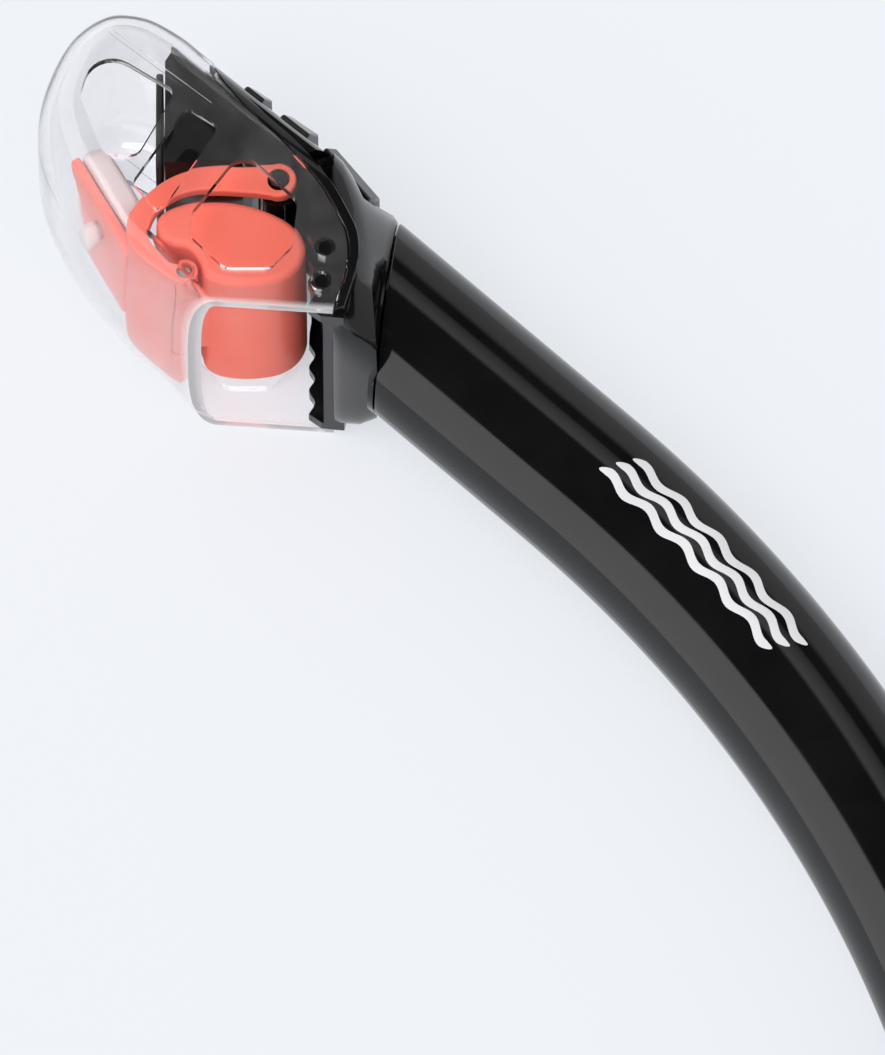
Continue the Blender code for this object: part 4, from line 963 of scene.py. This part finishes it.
def chamber_piece():
    """Barrel with a neck for the hose, a branch for the mouthpiece and a valve seat below."""
    where, length = along_hose(HOSE_LENGTH), CHAMBER_LENGTH
    centre, direction, normal = where
    seat = length - SEAT_DEPTH
    outside = [(-8.0, SPIGOT_R, 0.4), (GAP, SPIGOT_R, 0.1), (GAP, 13.6, 0.6), (2.5, CHAMBER_R, 1.2),
               (length, CHAMBER_R, 0.4)]
    rows = soft(round_rows([(-8.0, 8.9), *outside, (length, 0.5)]))
    chamber = loft("purge_barrel", [oval(where, r.y, r.z, r.x, 96) for r in rows])
    join(chamber, loft("branch", [branch_ring(4, BRANCH_A, BRANCH_B),
                                  branch_ring(BRANCH_LENGTH, BRANCH_A, BRANCH_B)]))
    room = [(-12.0, CHAMBER_NECK_R), (2.5, CHAMBER_NECK_R), (4.5, CHAMBER_BORE_R),
            (length - 7.0, CHAMBER_BORE_R)]
    skirt = [(seat, CHAMBER_BORE_R), (length + 5.0, CHAMBER_BORE_R)]
    cut(chamber, loft("chamber_room", [oval(where, r, r, t) for t, r in room]),
        loft("chamber_skirt", [oval(where, r, r, t) for t, r in skirt]),
        loft("branch_room", [branch_ring(t, BRANCH_A - BRANCH_WALL, BRANCH_B - BRANCH_WALL)
                             for t in (2, BRANCH_LENGTH + 9)]))
    for k in range(6):
        at = spread(where, 60 * k, 7.0)
        cut(chamber, rod(f"seat_hole_{k}", at, direction, length - 9, length, 2.2))
    cut(chamber, rod("seat_centre", centre, direction, length - 9, length, 1.5))
    remesh(chamber, 0.3, 4)
    place(chamber, "mouth_end", ["purge_chamber"], SATIN, 60)


def purge_pieces():
    """The valve disc on its stem, and the pierced cover that snaps into the chamber's end."""
    where, length = along_hose(HOSE_LENGTH), CHAMBER_LENGTH
    centre, direction, _ = where
    seat = length - SEAT_DEPTH
    flap = rod("purge_disc", centre, direction, seat + GAP, seat + GAP + 0.9, 11.5, 0.3)
    join(flap, rod("valve_stem", centre, direction, seat - 4.6, seat + 0.8, 1.1),
         rod("valve_bulb", centre, direction, seat - 6.2, seat - 4.0, 2.2, 0.5))
    place(flap, "purge_flap", ["purge_valve"], SILICONE)
    plug_r = 12.9
    rows = [(length - 4.0, 0.5), (length - 4.0, plug_r, 0.3), (length + GAP, plug_r, 0.1),
            (length + GAP, CHAMBER_R, 0.3), (length + 1.6, CHAMBER_R - 0.6, 0.8),
            (length + 2.4, CHAMBER_R - 2.5, 0.8), (length + 2.4, 0.5)]
    cover = loft("purge_cap", [oval(where, r.y, r.z, r.x, 96) for r in soft(round_rows(rows))])
    cut(cover, loft("cover_room", [oval(where, 11.8, 11.8, length + t) for t in (-8.0, 0.8)]))
    for k in range(6):
        at = spread(where, 60 * k + 30, 7.4)
        cut(cover, rod(f"cover_hole_{k}", at, direction, length, length + 8, 2.5))
    place(cover, "mouth_end", ["purge_cover"], SATIN)


def mouth_pieces():
    """Mouthpiece with its flange, bite blades and stops, and the tie round its neck."""
    neck_a, neck_b, start = BRANCH_A + GAP, BRANCH_B + GAP, 16.0
    profile = [(start, neck_a + 1.8, neck_b + 1.8, 2.0), (26.0, neck_a + 1.8, neck_b + 1.8, 2.0),
               (34.0, 9.0, 14.5, 2.2), (38.0, 9.2, 17.0, 2.4), (40.0, 13.2, 25.0, 2.6),
               (41.0, FLANGE_HALF_Y, FLANGE_HALF_Z, 2.6), (43.0, FLANGE_HALF_Y, FLANGE_HALF_Z, 2.6),
               (43.5, 12.0, 24.0, 2.6), (44.0, 8.4, 17.0, 2.4), (55.0, 8.0, 16.5, 2.6)]
    piece = loft("bite_mouthpiece", [branch_ring(*row) for row in profile])
    bore = [(start - 2, neck_a, neck_b, 2.0), (BRANCH_LENGTH + 0.5, neck_a, neck_b, 2.0),
            (33.0, 6.4, 11.6, 2.2), (60.0, 6.2, 13.4, 2.4)]
    cut(piece, loft("mouth_bore", [branch_ring(*row) for row in bore]))
    cut(piece, branch_turn(block("bite_gap", (46.5, -30, -6.5), (60, 30, 6.5), 0)))
    for side in (-1, 1):
        low, high = sorted((side * 8.2, side * 17.0))
        join(piece, branch_turn(block(f"bite_stop_{side}", (54.2, -9.6, low), (57.5, 9.6, high), 0)))
    remesh(piece, 0.35, 12)
    place(piece, "mouth_end", ["mouthpiece"], SILICONE, 70)
    a, b = BRANCH_A + 2.1 + GAP, BRANCH_B + 2.1 + GAP
    rows = [(18.0, a + 1.2, b + 1.2, 0.3), (22.0, a + 1.2, b + 1.2, 0.3),
            (22.0, a, b, 0.2), (18.0, a, b, 0.2)]
    tie = loft("neck_tie", [branch_ring(*row) for row in soft(rows, True)], True)
    join(tie, branch_turn(block("tie_head", (17.0, a + 0.3, -2.6), (23.0, a + 4.0, 2.6), 0.5)))
    place(tie, "mouth_end", ["mouthpiece_tie"], SATIN)


# ---- studio
def band(tree, source, low, high, width):
    """1 between two values of source and 0 outside them, with soft edges."""
    rise = ramp(tree, source, low - width, low + width, 0.0, 1.0)
    fall = ramp(tree, source, high - width, high + width, 1.0, 0.0)
    return calc(tree, "MULTIPLY", rise, fall)


def toward_side(tree, vector, azimuth):
    """How far a direction points to one side: 1 straight to it, -1 away from it."""
    angle = math.radians(azimuth)
    return dot_with(tree, vector, (math.cos(angle), math.sin(angle), 0))


# Heights are sines of the elevation, and sides are azimuths in degrees
SOFTBOX_TOP, SOFTBOX_LIGHT, SOFTBOX_SIDE = math.sin(math.radians(48.5)), 1.75, -170
STRIP_BOTTOM, STRIP_TOP, SOFT_EDGE = 0.70, math.sin(math.radians(60)), 0.012
LOW_WALL_TOP, LOW_WALL_EDGE, LOW_WALL_LIGHT, DARK = 0.5, 0.05, 0.55, 0.02
ROOM_LIGHT, ROOM_SIDE = (0.3, 0.94), -135
BENT_SHARES = (0.8, 0.3)  # of the even room in rays bent once or twice, and more often
SUN_LIGHT, SUN_SIZE, SUN_HEIGHT, SUN_SIDE = 1.5, 38, 66, -132
LENS, SENSOR, FRAME_HEIGHT = 900.0, 36.0, 0.174
LOOK_AT, LOOK_FROM = Vector((-0.02346, 0.10673, 0.0218)), Vector((0, -0.4617, 0.887))
FLOOR_HALF, FLOOR_DROP = 6.0, 0.0003


def studio_world():
    """What the room looks like to each kind of ray.

    Mirrored rays see a big soft light low on the left, a dim strip behind, and dark above.
    Matt surfaces see an even pale room that is brighter on the left, and so, in part, do rays
    that the clear hood has bent.
    """
    world = bpy.data.worlds.new("studio")
    bpy.context.scene.world = world
    world.use_nodes = True
    world.cycles.sampling_method = "NONE"
    tree = world.node_tree
    vector = wire(tree, "TexCoord", {}, "Generated")
    height = wire(tree, "SeparateXYZ", {0: vector}, "Z")
    squared = calc(tree, "MULTIPLY", height, height)
    flat = calc(tree, "SQRT", calc(tree, "SUBTRACT", 1.0, squared))
    side = toward_side(tree, vector, SOFTBOX_SIDE)
    turned = calc(tree, "DIVIDE", side, calc(tree, "MAXIMUM", flat, 0.02))
    share = ramp(tree, turned, -0.3, 0.35, 0.0, 1.0)
    left = calc(tree, "MULTIPLY", band(tree, height, -2.0, SOFTBOX_TOP, SOFT_EDGE), SOFTBOX_LIGHT)
    strip = calc(tree, "MULTIPLY", band(tree, height, STRIP_BOTTOM, STRIP_TOP, SOFT_EDGE),
                      ramp(tree, height, STRIP_BOTTOM, STRIP_TOP, 0.3, 0.95))
    low_wall = calc(tree, "MULTIPLY", band(tree, height, -2.0, LOW_WALL_TOP, LOW_WALL_EDGE), LOW_WALL_LIGHT)
    mirrored = wire(tree, "Mix", {0: share, 2: calc(tree, "ADD", strip, low_wall), 3: left})
    matt = ramp(tree, toward_side(tree, vector, ROOM_SIDE), -1.0, 1.0, *ROOM_LIGHT)
    depth = ramp(tree, wire(tree, "LightPath", {}, "Transmission Depth"), 2.4, 2.6, *BENT_SHARES)
    bent = calc(tree, "MULTIPLY", wire(tree, "LightPath", {}, "Is Transmission Ray"), depth)
    glossy = calc(tree, "MULTIPLY", wire(tree, "LightPath", {}, "Is Glossy Ray"),
                       calc(tree, "SUBTRACT", 1.0, bent))
    seen = wire(tree, "Mix", {0: glossy, 2: matt, 3: calc(tree, "ADD", mirrored, DARK)})
    tree.links.new(seen, tree.nodes["Background"].inputs["Strength"])
    tree.nodes["Background"].inputs["Color"].default_value = (0.985, 0.985, 1.0, 1)


def studio():
    """The room, the camera, the paper floor and the lamp."""
    studio_world()
    scene = bpy.context.scene
    camera_data = bpy.data.cameras.new("camera")
    camera = add_object("camera", camera_data)
    scene.camera = camera
    camera_data.sensor_fit = "VERTICAL"
    camera_data.sensor_height = SENSOR
    camera_data.lens = LENS
    toward = LOOK_FROM.normalized()
    camera.location = LOOK_AT + toward * FRAME_HEIGHT / SENSOR * LENS
    camera.rotation_euler = toward.to_track_quat("Z", "Y").to_euler()
    camera_data.clip_start, camera_data.clip_end = 0.01, 20.0

    mesh = bpy.data.meshes.new("floor")
    corners = [(x * FLOOR_HALF, y * FLOOR_HALF, 0) for x, y in ((-1, -1), (1, -1), (1, 1), (-1, 1))]
    mesh.from_pydata(corners, [], [(0, 1, 2, 3)])
    floor = add_object("floor", mesh)
    floor.location.z = -FLOOR_DROP
    mat, tree, shader = nodes_of("paper_floor")
    tone = ramp(tree, noise_at(tree, 3, 2), 0.3, 0.7, (0.243, 0.251, 0.263), (0.246, 0.254, 0.266))
    tree.links.new(tone, shader.inputs["Base Color"])
    shader.inputs["Roughness"].default_value = 0.9
    shader.inputs["Specular IOR Level"].default_value = 0.0
    shader.inputs["Emission Color"].default_value = (0.622, 0.639, 0.669, 1)
    shader.inputs["Emission Strength"].default_value = 1.0
    mesh.materials.append(mat)

    data = bpy.data.lights.new("softbox_sun", "SUN")
    data.energy = SUN_LIGHT
    data.angle = math.radians(SUN_SIZE)
    lamp = add_object("softbox_sun", data)
    up, round_ = math.radians(SUN_HEIGHT), math.radians(SUN_SIDE)
    source = Vector((math.cos(up) * math.cos(round_), math.cos(up) * math.sin(round_), math.sin(up)))
    lamp.rotation_euler = source.to_track_quat("Z", "Y").to_euler()
    lamp.visible_glossy = False
    scene.view_settings.view_transform = "Standard"
    scene.view_settings.look = "None"


hood_piece()
housing_piece()
gasket_piece()
arm_piece()
pin_pieces()
pad_piece()
float_pieces()
tube_piece()
print_piece()
keeper_pieces()
adapter_piece()
hose_piece()
band_piece("cuff_band_upper", CUFF_LENGTH / 2, "tube", "hose_band_upper")
band_piece("cuff_band_lower", HOSE_LENGTH - CUFF_LENGTH / 2, "mouth_end", "hose_band_lower")
chamber_piece()
purge_pieces()
mouth_pieces()
studio()
